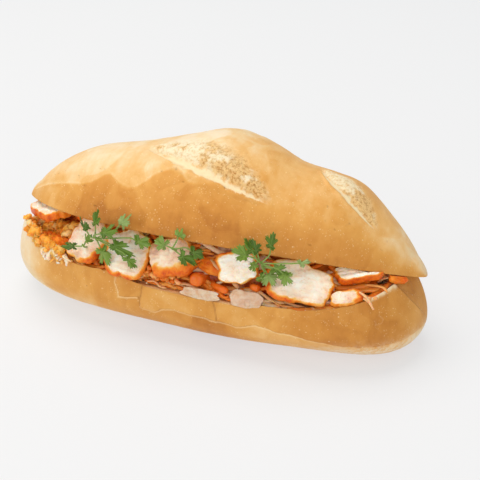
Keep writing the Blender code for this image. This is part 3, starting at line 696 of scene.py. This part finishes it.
class Heap:
    """Many small closed pieces gathered in one mesh, each with a tint of its own."""

    def __init__(self):
        self.points, self.faces, self.tints, self.ends = [], [], [], []

    def strip(self, path, wide, thick, tint, sides=8, square=3.0, taper=0.25, twist=0.0, rough=0.0, seed=0.0):
        """Strip with a squarish section along the path, with rounded ends."""
        path = np.asarray(path)
        ahead = unit(np.gradient(path, axis=0))
        across = unit(np.cross(ahead, [0.1, 0.2, 1.0]))
        over = np.cross(across, ahead)
        first = len(self.points)
        count = len(path)
        for k in range(count):
            share = k / (count - 1)
            close = min(share, 1 - share) * (count - 1)
            size = (1 - taper) + taper * min(1.0, close) if close >= 1 else 0.72 - 0.3 * taper
            for j in range(sides):
                a = tau * (j + 0.5) / sides + twist * share
                c, s = cos(a), sin(a)
                bulge = (abs(c) ** square + abs(s) ** square) ** (-1 / square)
                bump = 1 + rough * noise.noise(Vector((share * 9, a, seed)))
                spot = path[k] + (across[k] * c * wide / 2 + over[k] * s * thick / 2) * bulge * size * bump
                self.points.append(spot)
                self.tints.append(tint)
                self.ends.append(1 - min(1.0, close / 1.5))
        for k in range(count - 1):
            for j in range(sides):
                a, b = first + k * sides + j, first + k * sides + (j + 1) % sides
                self.faces.append((a, a + sides, b + sides, b))
        self.faces.append(tuple(first + j for j in range(sides)))
        self.faces.append(tuple(first + (count - 1) * sides + j for j in reversed(range(sides))))

    def lump(self, middle, ahead, width, flat, tint, twist, seed, bow=0.0, spare=0.0011, square=2.1, rough=0.9,
             taper=0.7):
        """Short rounded scrap through the middle, clear of the bread."""
        path = smooth_path(press([middle - ahead, middle + bow, middle + ahead], spare), 8)
        self.strip(path, width, width * flat, tint, sides=10, square=square, rough=rough, taper=taper, twist=twist,
                   seed=seed * 1e3)

    def finish(self, name, material, slot, *nodes, **masks):
        masks = {"tint": self.tints, "end": self.ends, **masks}
        new_piece(net(name, self.points, self.faces), masks, material, slot, *nodes)


class Shader:
    """Short hand for a material's nodes."""

    def __init__(self, name):
        self.material = bpy.data.materials.new(name)
        self.material.use_nodes = True
        self.tree = self.material.node_tree
        self.surface = self.tree.nodes["Principled BSDF"]
        self.where = self.tree.nodes.new("ShaderNodeTexCoord").outputs["Object"]

    def put(self, value, socket):
        if isinstance(value, bpy.types.NodeSocket):
            self.tree.links.new(value, socket)
        elif value is not None:
            socket.default_value = value

    def node(self, kind, **inputs):
        """New node of that kind with those inputs, whose names have _ for a space."""
        node = self.tree.nodes.new(kind)
        for name, value in inputs.items():
            self.put(value, node.inputs[name.replace("_", " ")])
        return node

    def mask(self, name):
        node = self.node("ShaderNodeAttribute")
        node.attribute_name = name
        return node.outputs["Fac"]

    def math(self, operation, a, b=None):
        node = self.node("ShaderNodeMath")
        node.operation = operation
        self.put(a, node.inputs[0])
        self.put(b, node.inputs[1])
        return node.outputs[0]

    def times(self, a, b):
        return self.math("MULTIPLY", a, b)

    def plus(self, a, b):
        return self.math("ADD", a, b)

    def less(self, a, b):
        return self.math("SUBTRACT", a, b)

    def swing(self, value, amount):
        """A value around 0.5 becomes one around 0, times the amount."""
        return self.times(self.less(value, 0.5), amount)

    def near(self, value, middle, width):
        """1 where the value is at the middle, down to 0 at that distance from it."""
        return self.between(self.math("ABSOLUTE", self.less(value, middle)), 0.0, width, 1.0, 0.0)

    def spots(self, scale, core, edge, where):
        """Spots of that grain, from their core to their edge, where the last value is 1."""
        return self.times(self.between(self.cells(scale), core, edge, 1.0, 0.0), where)

    def paint(self, colour, share, amount, other):
        """The other colour over the first, as strong as the share times the amount."""
        return self.blend(self.times(share, amount), colour, other)

    def blend(self, share, a, b):
        node = self.tree.nodes.new("ShaderNodeMix")
        node.data_type = "RGBA"
        node.clamp_factor = True
        self.put(share, node.inputs[0])
        self.put((*a, 1.0) if isinstance(a, tuple) else a, node.inputs[6])
        self.put((*b, 1.0) if isinstance(b, tuple) else b, node.inputs[7])
        return node.outputs[2]

    def noise(self, scale, detail=2.0, roughness=0.5, distortion=0.0, stretch=None):
        where = self.where
        if stretch:
            where = self.node("ShaderNodeMapping", Vector=where, Scale=stretch).outputs[0]
        return self.node("ShaderNodeTexNoise", Vector=where, Scale=scale, Detail=detail, Roughness=roughness,
                         Distortion=distortion).outputs["Fac"]

    def cells(self, scale):
        """Distance from the nearest of many scattered points."""
        return self.node("ShaderNodeTexVoronoi", Vector=self.where, Scale=scale).outputs["Distance"]

    def between(self, value, low, high, start=0.0, end=1.0):
        """value from low to high becomes start to end, smoothly and clamped."""
        node = self.node("ShaderNodeMapRange", Value=value, From_Min=low, From_Max=high, To_Min=start, To_Max=end)
        node.interpolation_type = "SMOOTHSTEP"
        return node.outputs[0]

    def ramp(self, value, stops):
        node = self.tree.nodes.new("ShaderNodeValToRGB")
        band = node.color_ramp
        while len(band.elements) < len(stops):
            band.elements.new(0.5)
        for element, (place, rgb) in zip(band.elements, stops):
            element.position = place
            element.color = (*rgb, 1.0)
        self.put(value, node.inputs[0])
        return node.outputs[0]

    def bump(self, height, distance):
        return self.node("ShaderNodeBump", Strength=1.0, Distance=distance, Height=height).outputs[0]

    def finish(self, colour, roughness, normal, shine, soft=()):
        """The material; soft is the weight, radius and scale of the light that goes under its surface."""
        names = ["Base Color", "Roughness", "Normal", "Specular IOR Level",
                 "Subsurface Weight", "Subsurface Radius", "Subsurface Scale"]
        for name, value in zip(names, (colour, roughness, normal, shine, *soft)):
            self.put(value, self.surface.inputs[name])
        return self.material


CRUST_COLOURS = [
    (0.0, (0.87, 0.7, 0.47)), (0.12, (0.84, 0.61, 0.33)), (0.3, (0.8, 0.47, 0.17)),
    (0.5, (0.71, 0.345, 0.08)), (0.75, (0.6, 0.25, 0.045)), (1.0, (0.42, 0.14, 0.022)),
]
MEAT_COLOURS = [
    (0.0, (0.98, 0.9, 0.78)), (0.3, (0.97, 0.79, 0.6)), (0.6, (0.92, 0.62, 0.43)), (1.0, (0.5, 0.22, 0.15)),
]
SKIN_COLOURS = [
    (0.1, (0.95, 0.72, 0.4)), (0.32, (0.94, 0.52, 0.13)), (0.55, (0.9, 0.29, 0.02)),
    (0.8, (0.82, 0.17, 0.008)), (1.0, (0.58, 0.07, 0.006)),
]
SHRED_COLOURS = [
    (0.0, (0.95, 0.8, 0.64)), (0.25, (0.98, 0.62, 0.22)), (0.5, (0.97, 0.42, 0.045)),
    (0.75, (0.86, 0.2, 0.015)), (1.0, (0.56, 0.09, 0.01)),
]
PICKLE_COLOURS = [
    (0.0, (0.86, 0.66, 0.46)), (0.22, (0.86, 0.5, 0.26)), (0.36, (0.92, 0.36, 0.07)),
    (0.52, (0.86, 0.19, 0.012)), (0.62, (0.66, 0.1, 0.01)), (0.8, (0.3, 0.05, 0.012)),
]
LEAF_COLOURS = [
    (0.0, (0.03, 0.065, 0.008)), (0.45, (0.095, 0.18, 0.012)), (0.75, (0.18, 0.28, 0.035)), (1.0, (0.29, 0.38, 0.13)),
]
IVORY = (0.88, 0.73, 0.46)
FLOUR = (0.84, 0.72, 0.52)
CRUMB = (0.9, 0.78, 0.55)


def crust_material():
    sh = Shader("bread_crust")
    blotch = sh.noise(42, 1.0, 0.5, 0.6)
    streaks = sh.noise(150, 3.0, 0.6, 0.3, (1.0, 0.1, 0.12))
    # The brown mask carries the crust's browning together with painted light and shade: paler on the left, browner on
    # the right and under the roll.
    brown = sh.plus(sh.mask("brown"), sh.plus(sh.swing(sh.noise(160, 3.0, 0.6), 0.34), sh.swing(streaks, 0.26)))
    brown = sh.plus(brown, sh.times(sh.between(blotch, 0.5, 0.53), 0.1))
    brown = sh.less(brown, sh.times(sh.near(blotch, 0.525, 0.01), 0.05))
    colour = sh.ramp(brown, CRUST_COLOURS)

    fleck = sh.spots(900, 0.12, 0.32, sh.between(sh.noise(260, 2.0), 0.48, 0.6))
    blister = sh.spots(380, 0.1, 0.19, sh.between(sh.noise(110, 1.0), 0.54, 0.62))
    hair = sh.times(sh.near(sh.noise(48, 2.0, 0.5, 1.2), 0.47, 0.005), sh.between(sh.noise(70, 2.0), 0.5, 0.58))
    nick = sh.spots(210, 0.04, 0.09, sh.between(sh.noise(60, 1.0), 0.58, 0.66))
    colour = sh.paint(colour, fleck, 0.42, (0.94, 0.7, 0.34))
    colour = sh.paint(colour, blister, 0.45, (0.95, 0.72, 0.36))
    colour = sh.paint(colour, hair, 0.13, (0.9, 0.68, 0.36))
    colour = sh.paint(colour, nick, 0.6, (0.36, 0.13, 0.03))

    speck = sh.between(sh.noise(700, 4.0, 0.75), 0.38, 0.54)
    tan = sh.between(sh.plus(sh.noise(170, 2.0), sh.times(sh.mask("tan"), 0.3)), 0.52, 0.72)
    grain = sh.blend(tan, (0.84, 0.61, 0.31), (0.55, 0.26, 0.07))
    crumbly = sh.blend(speck, grain, sh.blend(tan, (0.98, 0.86, 0.6), (0.88, 0.59, 0.26)))
    colour = sh.paint(colour, sh.mask("rough"), 0.85, crumbly)
    # Pale line by the plates' edges, partly exposed crumb and partly a painted highlight; dark cracks and a painted
    # shadow line along the plates' edges.
    colour = sh.paint(colour, sh.mask("plate"), 0.7, (0.9, 0.66, 0.33))
    crack = sh.math("MAXIMUM", sh.times(sh.mask("plate"), -1.0), 0.0)
    colour = sh.paint(colour, crack, 0.72, (0.4, 0.17, 0.04))
    dusty = sh.times(sh.mask("flour"), sh.between(sh.noise(500, 4.0, 0.7), 0.3, 0.6))
    colour = sh.paint(colour, dusty, 0.75, FLOUR)
    crumb = sh.blend(sh.between(sh.cells(700), 0.15, 0.55), (0.72, 0.5, 0.26), CRUMB)
    soaked = sh.blend(sh.noise(420, 3.0), (0.72, 0.28, 0.05), (0.88, 0.52, 0.18))
    crumb = sh.paint(crumb, sh.mask("stain"), 0.85, soaked)
    colour = sh.blend(sh.mask("crumb"), colour, crumb)
    colour = sh.blend(sh.mask("pale"), colour, sh.blend(sh.noise(700, 3.0), (0.84, 0.66, 0.38), IVORY))

    rising = sh.plus(sh.noise(900, 4.0, 0.6), sh.plus(sh.times(fleck, 0.7), blister))
    torn = sh.plus(sh.mask("rough"), sh.mask("crumb"))
    rising = sh.plus(sh.less(rising, nick), sh.times(sh.times(torn, sh.noise(1300, 5.0, 0.75)), 4.5))
    roughness = sh.plus(sh.times(sh.noise(220, 3.0), 0.18), 0.42)
    roughness = sh.math("MAXIMUM", roughness, sh.times(torn, 0.85))
    return sh.finish(colour, roughness, sh.bump(rising, 0.00012), 0.16, (0.06, (0.003, 0.0015, 0.0006), 1.0))


def chicken_material():
    """Skin runs from 0 on the meat to 1 at the marinated edge; pink is how pink the meat is."""
    sh = Shader("cooked_chicken")
    skin, edge = sh.mask("skin"), sh.mask("edge")
    pink = sh.plus(sh.mask("pink"), sh.swing(sh.noise(210, 4.0, 0.6, 0.6), 1.3))
    meat = sh.ramp(sh.plus(pink, sh.times(edge, 0.2)), MEAT_COLOURS)
    fibre = sh.noise(420, 4.0, 0.65, 0.4, (1.0, 1.0, 2.2))
    meat = sh.paint(meat, sh.between(fibre, 0.54, 0.72), 0.5, (0.86, 0.54, 0.32))
    stain = sh.plus(sh.noise(260, 4.0, 0.65, 1.0), sh.times(edge, 0.08))
    meat = sh.paint(meat, sh.between(stain, 0.6, 0.72), 0.6, (0.88, 0.42, 0.11))
    tone = sh.plus(skin, sh.times(sh.swing(sh.noise(330, 4.0, 0.65), 0.9), sh.between(skin, 0.02, 0.35)))
    colour = sh.blend(sh.between(tone, 0.05, 0.3), meat, sh.ramp(tone, SKIN_COLOURS))
    normal = sh.bump(sh.plus(fibre, sh.noise(1400, 3.0)), 0.00028)
    roughness = sh.plus(sh.times(sh.noise(500, 2.0), 0.25), 0.22)
    return sh.finish(colour, roughness, normal, 0.25, (0.25, (0.004, 0.0016, 0.0008), 0.6))


def shred_material():
    """Tint runs from 0 on pale meat to 1 on the reddest skin."""
    sh = Shader("torn_chicken")
    colour = sh.ramp(sh.plus(sh.mask("tint"), sh.swing(sh.noise(300, 3.0), 0.6)), SHRED_COLOURS)
    normal = sh.bump(sh.noise(1200, 4.0, 0.7), 0.00018)
    return sh.finish(colour, 0.35, normal, 0.25, (0.25, (0.003, 0.0012, 0.0006), 0.6))


def pickle_material():
    """Tint 0 is pale daikon, about 0.5 stained daikon and 1 carrot; from 1.2 on it is dark, a painted shade for the
    deep filling.
    """
    sh = Shader("pickled_strips")
    colour = sh.ramp(sh.times(sh.mask("tint"), 0.5), PICKLE_COLOURS)
    streak = sh.between(sh.noise(350, 4.0, 0.65, 0.5), 0.48, 0.72)
    colour = sh.paint(colour, streak, 0.22, (0.9, 0.38, 0.08))
    normal = sh.bump(sh.noise(900, 3.0), 0.0001)
    return sh.finish(colour, 0.24, normal, 0.28, (0.35, (0.004, 0.0012, 0.0004), 0.7))


def daikon_material():
    sh = Shader("pickled_daikon")
    colour = sh.blend(sh.between(sh.noise(260, 4.0, 0.6), 0.35, 0.65), (0.8, 0.48, 0.28), (0.88, 0.68, 0.48))
    colour = sh.blend(sh.between(sh.mask("pink"), 0.2, 1.2), colour, (0.8, 0.44, 0.3))
    sh.surface.inputs["Transmission Weight"].default_value = 0.15
    return sh.finish(colour, 0.2, sh.bump(sh.noise(700, 3.0), 0.0001), 0.5, (0.5, (0.004, 0.003, 0.002), 0.8))


def leaf_material():
    """Tint is the leaf's lightness, vein runs from 0 on the blade to 1 on a rib."""
    sh = Shader("cilantro_leaf")
    colour = sh.ramp(sh.plus(sh.mask("tint"), sh.swing(sh.noise(350, 3.0), 0.5)), LEAF_COLOURS)
    colour = sh.paint(colour, sh.mask("vein"), 0.45, (0.27, 0.38, 0.1))
    normal = sh.bump(sh.plus(sh.noise(900, 3.0), sh.times(sh.mask("vein"), -1.5)), 0.0001)
    return sh.finish(colour, 0.38, normal, 0.3, (0.12, (0.0006, 0.0015, 0.0003), 0.6))


def pickle_core(material):
    """Mass behind the strips, inside the space of the solid core, painted dark as shade of the deep filling."""
    mesh, ball = sphere("pickle_core", 60, 110)
    place, tints = [], []
    for side_x, side_y, u in ball:
        u = max(-1.0, min(1.0, u))
        angle = math.atan2(side_y, side_x)
        x = CORE_MIDDLE + u * CORE_LENGTH / 2
        inner = float(plan(u, 6, 0.5))
        side = max(abs(cos(angle)), abs(sin(angle)))
        across, up = inner * cos(angle) / side, inner * sin(angle) / side
        start, _, lean, _ = front_frame(max(-0.09, min(0.09, x)))
        recess = CORE_RECESS * max(hump(x, row, 0.011) for row in SECOND_ROW)
        front = start[1] + CORE_SETBACK + recess + lean[1] * (0.5 + 0.5 * up) * 0.9
        rear = max(front + 0.002, CORE_BACK * float(plan(u, 3, 0.5)))
        y = front + (rear - front) * (0.5 + 0.5 * across)
        low, high = float(floor_height(x, y)) + CORE_GAP, float(roof_height(x, y)) - CORE_GAP
        z = (low + high) / 2 + max(0.0002, (high - low) / 2) * up
        rough = noise.fractal(Vector((x, y, z)) / 0.004, 0.8, 2.0, 3)
        place.append((x, y - 0.0006 * min(rough, 0.5) + 0.0004, z))
        tints.append(1.15 + 0.5 * rough)
    new_piece(mesh, {"tint": tints}, material, "pickle", "pickle_heap", place=place)


def make_pickles(material):
    """Strips where the solids have them, and the tangle that shows between the slices."""
    scatter = random.Random(11)
    draw = scatter.uniform
    heap = Heap()
    for strip in CARROTS + STRANDS:
        tint, sides = (1.12, 14) if strip in CARROTS else (0.6, 8)
        path = smooth_path([press(on_front(*point), strip.radius + GAP)[0] for point in strip.points], 12)
        heap.strip(path, strip.radius * 2, strip.radius * 2, tint, sides=sides, square=2.4, rough=0.1,
                   seed=strip.radius * 1e4)
    for kind in TANGLES:
        for _ in range(kind.count):
            x = draw(*TANGLE_SPAN)
            slope = draw(-0.5, 0.5) * kind.slope
            length, share = draw(*kind.length), draw(*kind.rise)
            deep = draw(*kind.depth)
            points = []
            for k in (-0.5, -0.15, 0.2, 0.5):
                start, _, up, out = front_frame(max(-0.088, min(0.092, x + k * length)))
                rise = min(0.97, max(-0.02, share + slope * k * length / 0.02 + draw(-0.05, 0.05)))
                points.append(start + up * rise + out * (deep + draw(-0.0006, 0.0006)))
            width, tint = draw(*kind.width), scatter.choice(kind.tints)
            heap.strip(smooth_path(press(points, 0.0014), 9), width, width * draw(0.5, 0.9), tint,
                       rough=0.25, twist=draw(-0.8, 0.8), seed=x * 1e3)
    for strand in LONG_STRANDS:
        *held, loose = [on_front(*point) for point in strand]
        path = smooth_path(np.vstack([press(held, 0.001), [loose]]), 14)
        heap.strip(path, 0.0016, 0.001, draw(0.48, 0.7), rough=0.3, twist=1.2, seed=strand[0][0] * 1e3)
    for _ in range(34):
        at = draw(*SCRAP_SPAN)
        middle = on_front(at, 0.0352 + draw(0.0, 0.0045), draw(-0.0022, 0.001))
        turn, reach = draw(-0.5, 0.5), draw(0.001, 0.0024)
        ahead = np.array([cos(turn), -0.1, sin(turn)]) * reach
        width, tint = draw(0.002, 0.0038), scatter.choice([0.66, 0.8, 0.9, 1.0, 1.1])
        heap.lump(middle, ahead, width, 0.7, tint, draw(-1, 1), at, spare=0.0012, square=2.2, rough=0.7,
                  taper=0.6)
    heap.finish("pickle_strips", material, "pickle", "pickle_heap")


def make_shreds(material):
    """Torn chicken that spills from under the first slice over the rim."""
    scatter = random.Random(4)
    draw = scatter.uniform
    heap = Heap()
    # Lumps on the rim, every fourth of them further back
    for number in range(210):
        along = draw(*SHRED_SPAN)
        share = (along - SHRED_SPAN[0]) / (SHRED_SPAN[1] - SHRED_SPAN[0])
        start, _, _, out = front_frame(along)
        rise = draw(0.0, 0.0085 - 0.003 * share)
        middle = start + np.array([0, 0, rise]) + out * draw(-0.005, 0.0008)
        if number % 4 == 0:
            middle[1] += draw(0.004, 0.034)
        reach, turn = draw(0.001, 0.0026), draw(0, tau)
        ahead = np.array([cos(turn), -0.3, 0.6 * sin(turn)]) * reach
        bow = out * draw(-0.0006, 0.001)
        width, tint = draw(0.0026, 0.0054), scatter.choice([0.22, 0.4, 0.46, 0.5, 0.54, 0.58, 0.64])
        heap.lump(middle, ahead, width, draw(0.5, 0.8), tint, draw(-1.5, 1.5), along, bow)
    # Larger ones up the leaning front
    for _ in range(90):
        along = draw(*HIGH_SHRED_SPAN)
        start, _, up, out = front_frame(along)
        middle = start + up * draw(0.2, 0.8) + out * draw(-0.0065, -0.002)
        turn, reach = draw(0, tau), draw(0.0014, 0.003)
        ahead = np.array([cos(turn), -0.2, 0.5 * sin(turn)]) * reach
        width, tint = draw(0.0036, 0.0068), scatter.choice([0.3, 0.42, 0.5, 0.54, 0.6, 0.68])
        heap.lump(middle, ahead, width, 0.7, tint, draw(-1.5, 1.5), along, spare=0.0014)
    # Threads that hang over the rim
    for _ in range(17):
        along = draw(*THREAD_SPAN)
        start, _, _, out = front_frame(along)
        first = start + np.array([0, 0, draw(0.002, 0.006)]) + out * draw(-0.003, 0.0)
        last = first + np.array([draw(-0.003, 0.006), -0.003, -0.001]) + out * 0.001
        last[2] = min(first[2], start[2] + draw(-0.0035, 0.003))
        bow = np.array([draw(-0.002, 0.002), -0.001, draw(-0.001, 0.001)])
        width, tint = draw(0.0012, 0.0028), scatter.choice([0.0, 0.05, 0.1, 0.22, 0.4])
        heap.strip(smooth_path([first, (first + last) / 2 + bow, last], 9), width, width * 0.6, tint, square=2.2,
                   rough=0.7, twist=draw(-1.5, 1.5), seed=along * 1e3)
    heap.finish("shredded_chicken_pieces", material, "chicken_skin", "shredded_chicken")


def turned(angle, centre):
    """Angle between two directions, from 0 to pi."""
    return abs((angle - centre + pi) % tau - pi)


def leaf_reach(angle, seed):
    """Outline of a cilantro leaflet: five deep lobes with blunt teeth, tip at angle 0 and stalk at pi."""
    best = 0.0
    for index, (centre, length) in enumerate(LOBES):
        away = turned(angle, centre + 0.16 * sin(seed * 2.3 + index * 1.7))
        length *= 1 + 0.16 * sin(seed * 3.1 + index * 2.9)
        lobe = max(0.0, 1 - (away / 0.54) ** 2.6) ** 0.75
        teeth = 1 - 0.2 * (0.5 - 0.5 * cos(tau * away / 0.27))
        best = max(best, length * (0.24 + 0.76 * lobe) * teeth)
    return best


def leaflet(sprig, number, leaf, seed, tint, material):
    """Lobed blade, thin and wavy, with ribs along its lobes."""
    around, rings = 120, 14
    ahead = np.array(leaf.tip) - leaf.stalk
    across = unit(np.cross(ahead, front_frame(leaf.stalk[0])[3]))
    face = unit(np.cross(across, ahead))
    centre = leaf.stalk + ahead * 0.42
    points, veins = [], []
    for ring in range(rings + 1):
        radius = ring / rings
        for k in range(around if ring else 1):
            angle = tau * k / around - pi
            shape = radius * (0.42 + (leaf_reach(angle, seed) - 0.42) * radius ** 0.6)
            x, y = shape * cos(angle), shape * sin(angle)
            wave = 0.001 * radius * sin(2 * angle + seed) + 0.00045 * radius ** 2 * sin(7 * angle + seed)
            fold = -0.0005 * cos(5.8 * angle) * radius - 0.0009 * radius ** 2
            points.append(centre + ahead * 0.58 * x + across * leaf.width / 2 * y + face * (wave + fold))
            rib = min(turned(angle, lobe) for lobe, _ in LOBES)
            veins.append(math.exp(-(rib * shape / 0.045) ** 2) * (1 - 0.5 * radius))
    faces = []
    for k in range(around):
        here, after = 1 + k, 1 + (k + 1) % around
        faces.append((0, here, after))
        for inner in range(0, (rings - 1) * around, around):
            faces.append((here + inner, here + inner + around, after + inner + around, after + inner))
    masks = {"tint": np.full(len(points), tint), "vein": veins}
    blade = new_piece(net(f"{sprig}_leaf_{number}", points, faces), masks, material, "cilantro", sprig)
    shell = blade.modifiers.new("thickness", "SOLIDIFY")
    shell.thickness = 0.00028
    shell.offset = 0.0


def make_cilantro(material):
    for number, leaves in enumerate(SPRIGS):
        name = f"cilantro_sprig_{number + 1}"
        meet = np.mean([leaf.stalk for leaf in leaves], axis=0)
        stems = Heap()
        root = [meet + [0, 0, 0.0008], meet + [0.0006, 0.001, -0.0012], meet + [0.001, 0.003, -0.002]]
        stems.strip(smooth_path(root, 8), 0.0009, 0.0009, 0.75, square=2.0)
        for index, leaf in enumerate(leaves + ADDED_LEAVES[number]):
            stalk, tip = np.array(leaf.stalk), np.array(leaf.tip)
            bow = (meet + stalk) / 2 + [0, -0.0004, 0]
            stems.strip(smooth_path([meet, bow, stalk, stalk + (tip - stalk) * 0.35], 10), 0.0007, 0.0007, 0.8,
                        square=2.0, taper=0.4)
            leaflet(name, index + 1, leaf, number * 2.0 + index, LEAF_TINTS[number][index], material)
        stems.finish(f"{name}_stems", material, "cilantro", name, vein=np.full(len(stems.points), 0.6))


def make_crumbs(material):
    """A few flakes of crust caught on the rim."""
    draw = random.Random(9).uniform
    heap = Heap()
    for _ in range(16):
        x = draw(*FLAKE_SPAN)
        spot = on_front(x, float(base_outline(2 * x / BASE_LENGTH, 0.0)[1]) + 0.0016, -0.0004)
        turn = draw(0, tau)
        half = np.array([cos(turn), sin(turn) * 0.6, 0.1]) * draw(0.0004, 0.001)
        heap.strip(smooth_path([spot - half, spot + [0, 0, 0.0002], spot + half], 4), 0.0009, 0.0004, 0.1, sides=6,
                   rough=0.6, seed=x * 1e3)
    heap.finish("crust_flakes", material, "crust")


def make_floor():
    """Pale floor that glows a little, so that the shadow on it stays light and grey."""
    bpy.ops.mesh.primitive_plane_add(size=6.0, location=(0, 0, 0))
    floor = bpy.context.object
    floor.name = "floor"
    sh = Shader("pale_floor")
    sh.surface.inputs["Emission Color"].default_value = (0.95, 1.0, 1.055, 1.0)
    sh.surface.inputs["Emission Strength"].default_value = 0.55
    floor.data.materials.append(sh.finish((0.345, 0.32, 0.292, 1.0), 0.9, None, 0.0))


def area_light(name, place, size, power):
    data = bpy.data.lights.new(name, "AREA")
    data.shape = "DISK"
    data.size = size
    data.energy = power
    light = new_object(name, data)
    light.location = place
    light.rotation_euler = (Vector(VIEW_CENTRE) - Vector(place)).to_track_quat("-Z", "Y").to_euler()


def make_lights():
    world = bpy.data.worlds.new("studio")
    bpy.context.scene.world = world
    world.use_nodes = True
    world.node_tree.nodes["Background"].inputs["Color"].default_value = (1.0, 1.0, 1.0, 1.0)
    world.node_tree.nodes["Background"].inputs["Strength"].default_value = 0.45
    area_light("key", (-0.28, 0.12, 1.05), 1.1, 8)
    area_light("fill", (0.5, -1.0, 0.55), 1.0, 4.4)
    area_light("fill_left", (-0.8, -0.75, 0.4), 0.8, 2.6)
    bpy.context.scene.view_settings.view_transform = "Standard"


def make_camera():
    """The photograph's view: to the right of the front and above it."""
    yaw, rise = radians(VIEW_RIGHT), radians(VIEW_ABOVE)
    back = Vector((sin(yaw) * cos(rise), -cos(yaw) * cos(rise), sin(rise)))
    right = Vector((cos(yaw), sin(yaw), 0))
    up = back.cross(right)
    data = bpy.data.cameras.new("camera")
    data.sensor_width = SENSOR_WIDTH
    data.lens = SENSOR_WIDTH * FOCAL_PIXELS / PHOTO_PIXELS
    camera = new_object("camera", data)
    camera.location = Vector(VIEW_CENTRE) + Vector(offset) + back * VIEW_DISTANCE
    aim = camera.location - back * VIEW_DISTANCE
    aim += (right * ROLL_LEFT_PIXELS - up * ROLL_ABOVE_PIXELS) * VIEW_DISTANCE / FOCAL_PIXELS
    camera.rotation_euler = (aim - camera.location).to_track_quat("-Z", "Y").to_euler()
    bpy.context.scene.camera = camera


made = []                # every piece with its slot and its nodes, in the order they are made
crust = crust_material()
chicken = chicken_material()
pickled = pickle_material()
leafy = leaf_material()
loaf("roll_lid", LID_STATIONS, LID_RING, lid_surface, crust, "roll")
loaf("roll_base", BASE_STATIONS, BASE_RING, base_surface, crust, "roll")
for number, piece in enumerate(SLICES):
    slab(f"slice_{number + 1:02d}", piece, 1.0 + number, chicken, "chicken", f"chicken_slice_{number + 1:02d}")
slab("shredded_lump", SHRED_LUMP, 21.0, chicken, "chicken_skin", "shredded_chicken", fine=2.0)
clear = daikon_material()
for number, piece in enumerate(DAIKON):
    slab(f"daikon_{number + 1}", piece, 31.0 + number, clear, "daikon", f"daikon_slice_{number + 1}", fine=0.6)
pickle_core(pickled)
make_pickles(pickled)
make_shreds(shred_material())
make_cilantro(leafy)
make_crumbs(crust)

# The frame's origin is under the middle of the whole, so every piece moves from the roll's own origin to it
offset = (0.0, MIDDLE_SHIFT, -FOOT_DEPTH)
for piece, slot, nodes in made:
    piece.location = offset
    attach(piece, "root")
    if nodes:
        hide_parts(*nodes)
make_floor()
make_lights()
make_camera()

bpy.context.view_layer.update()
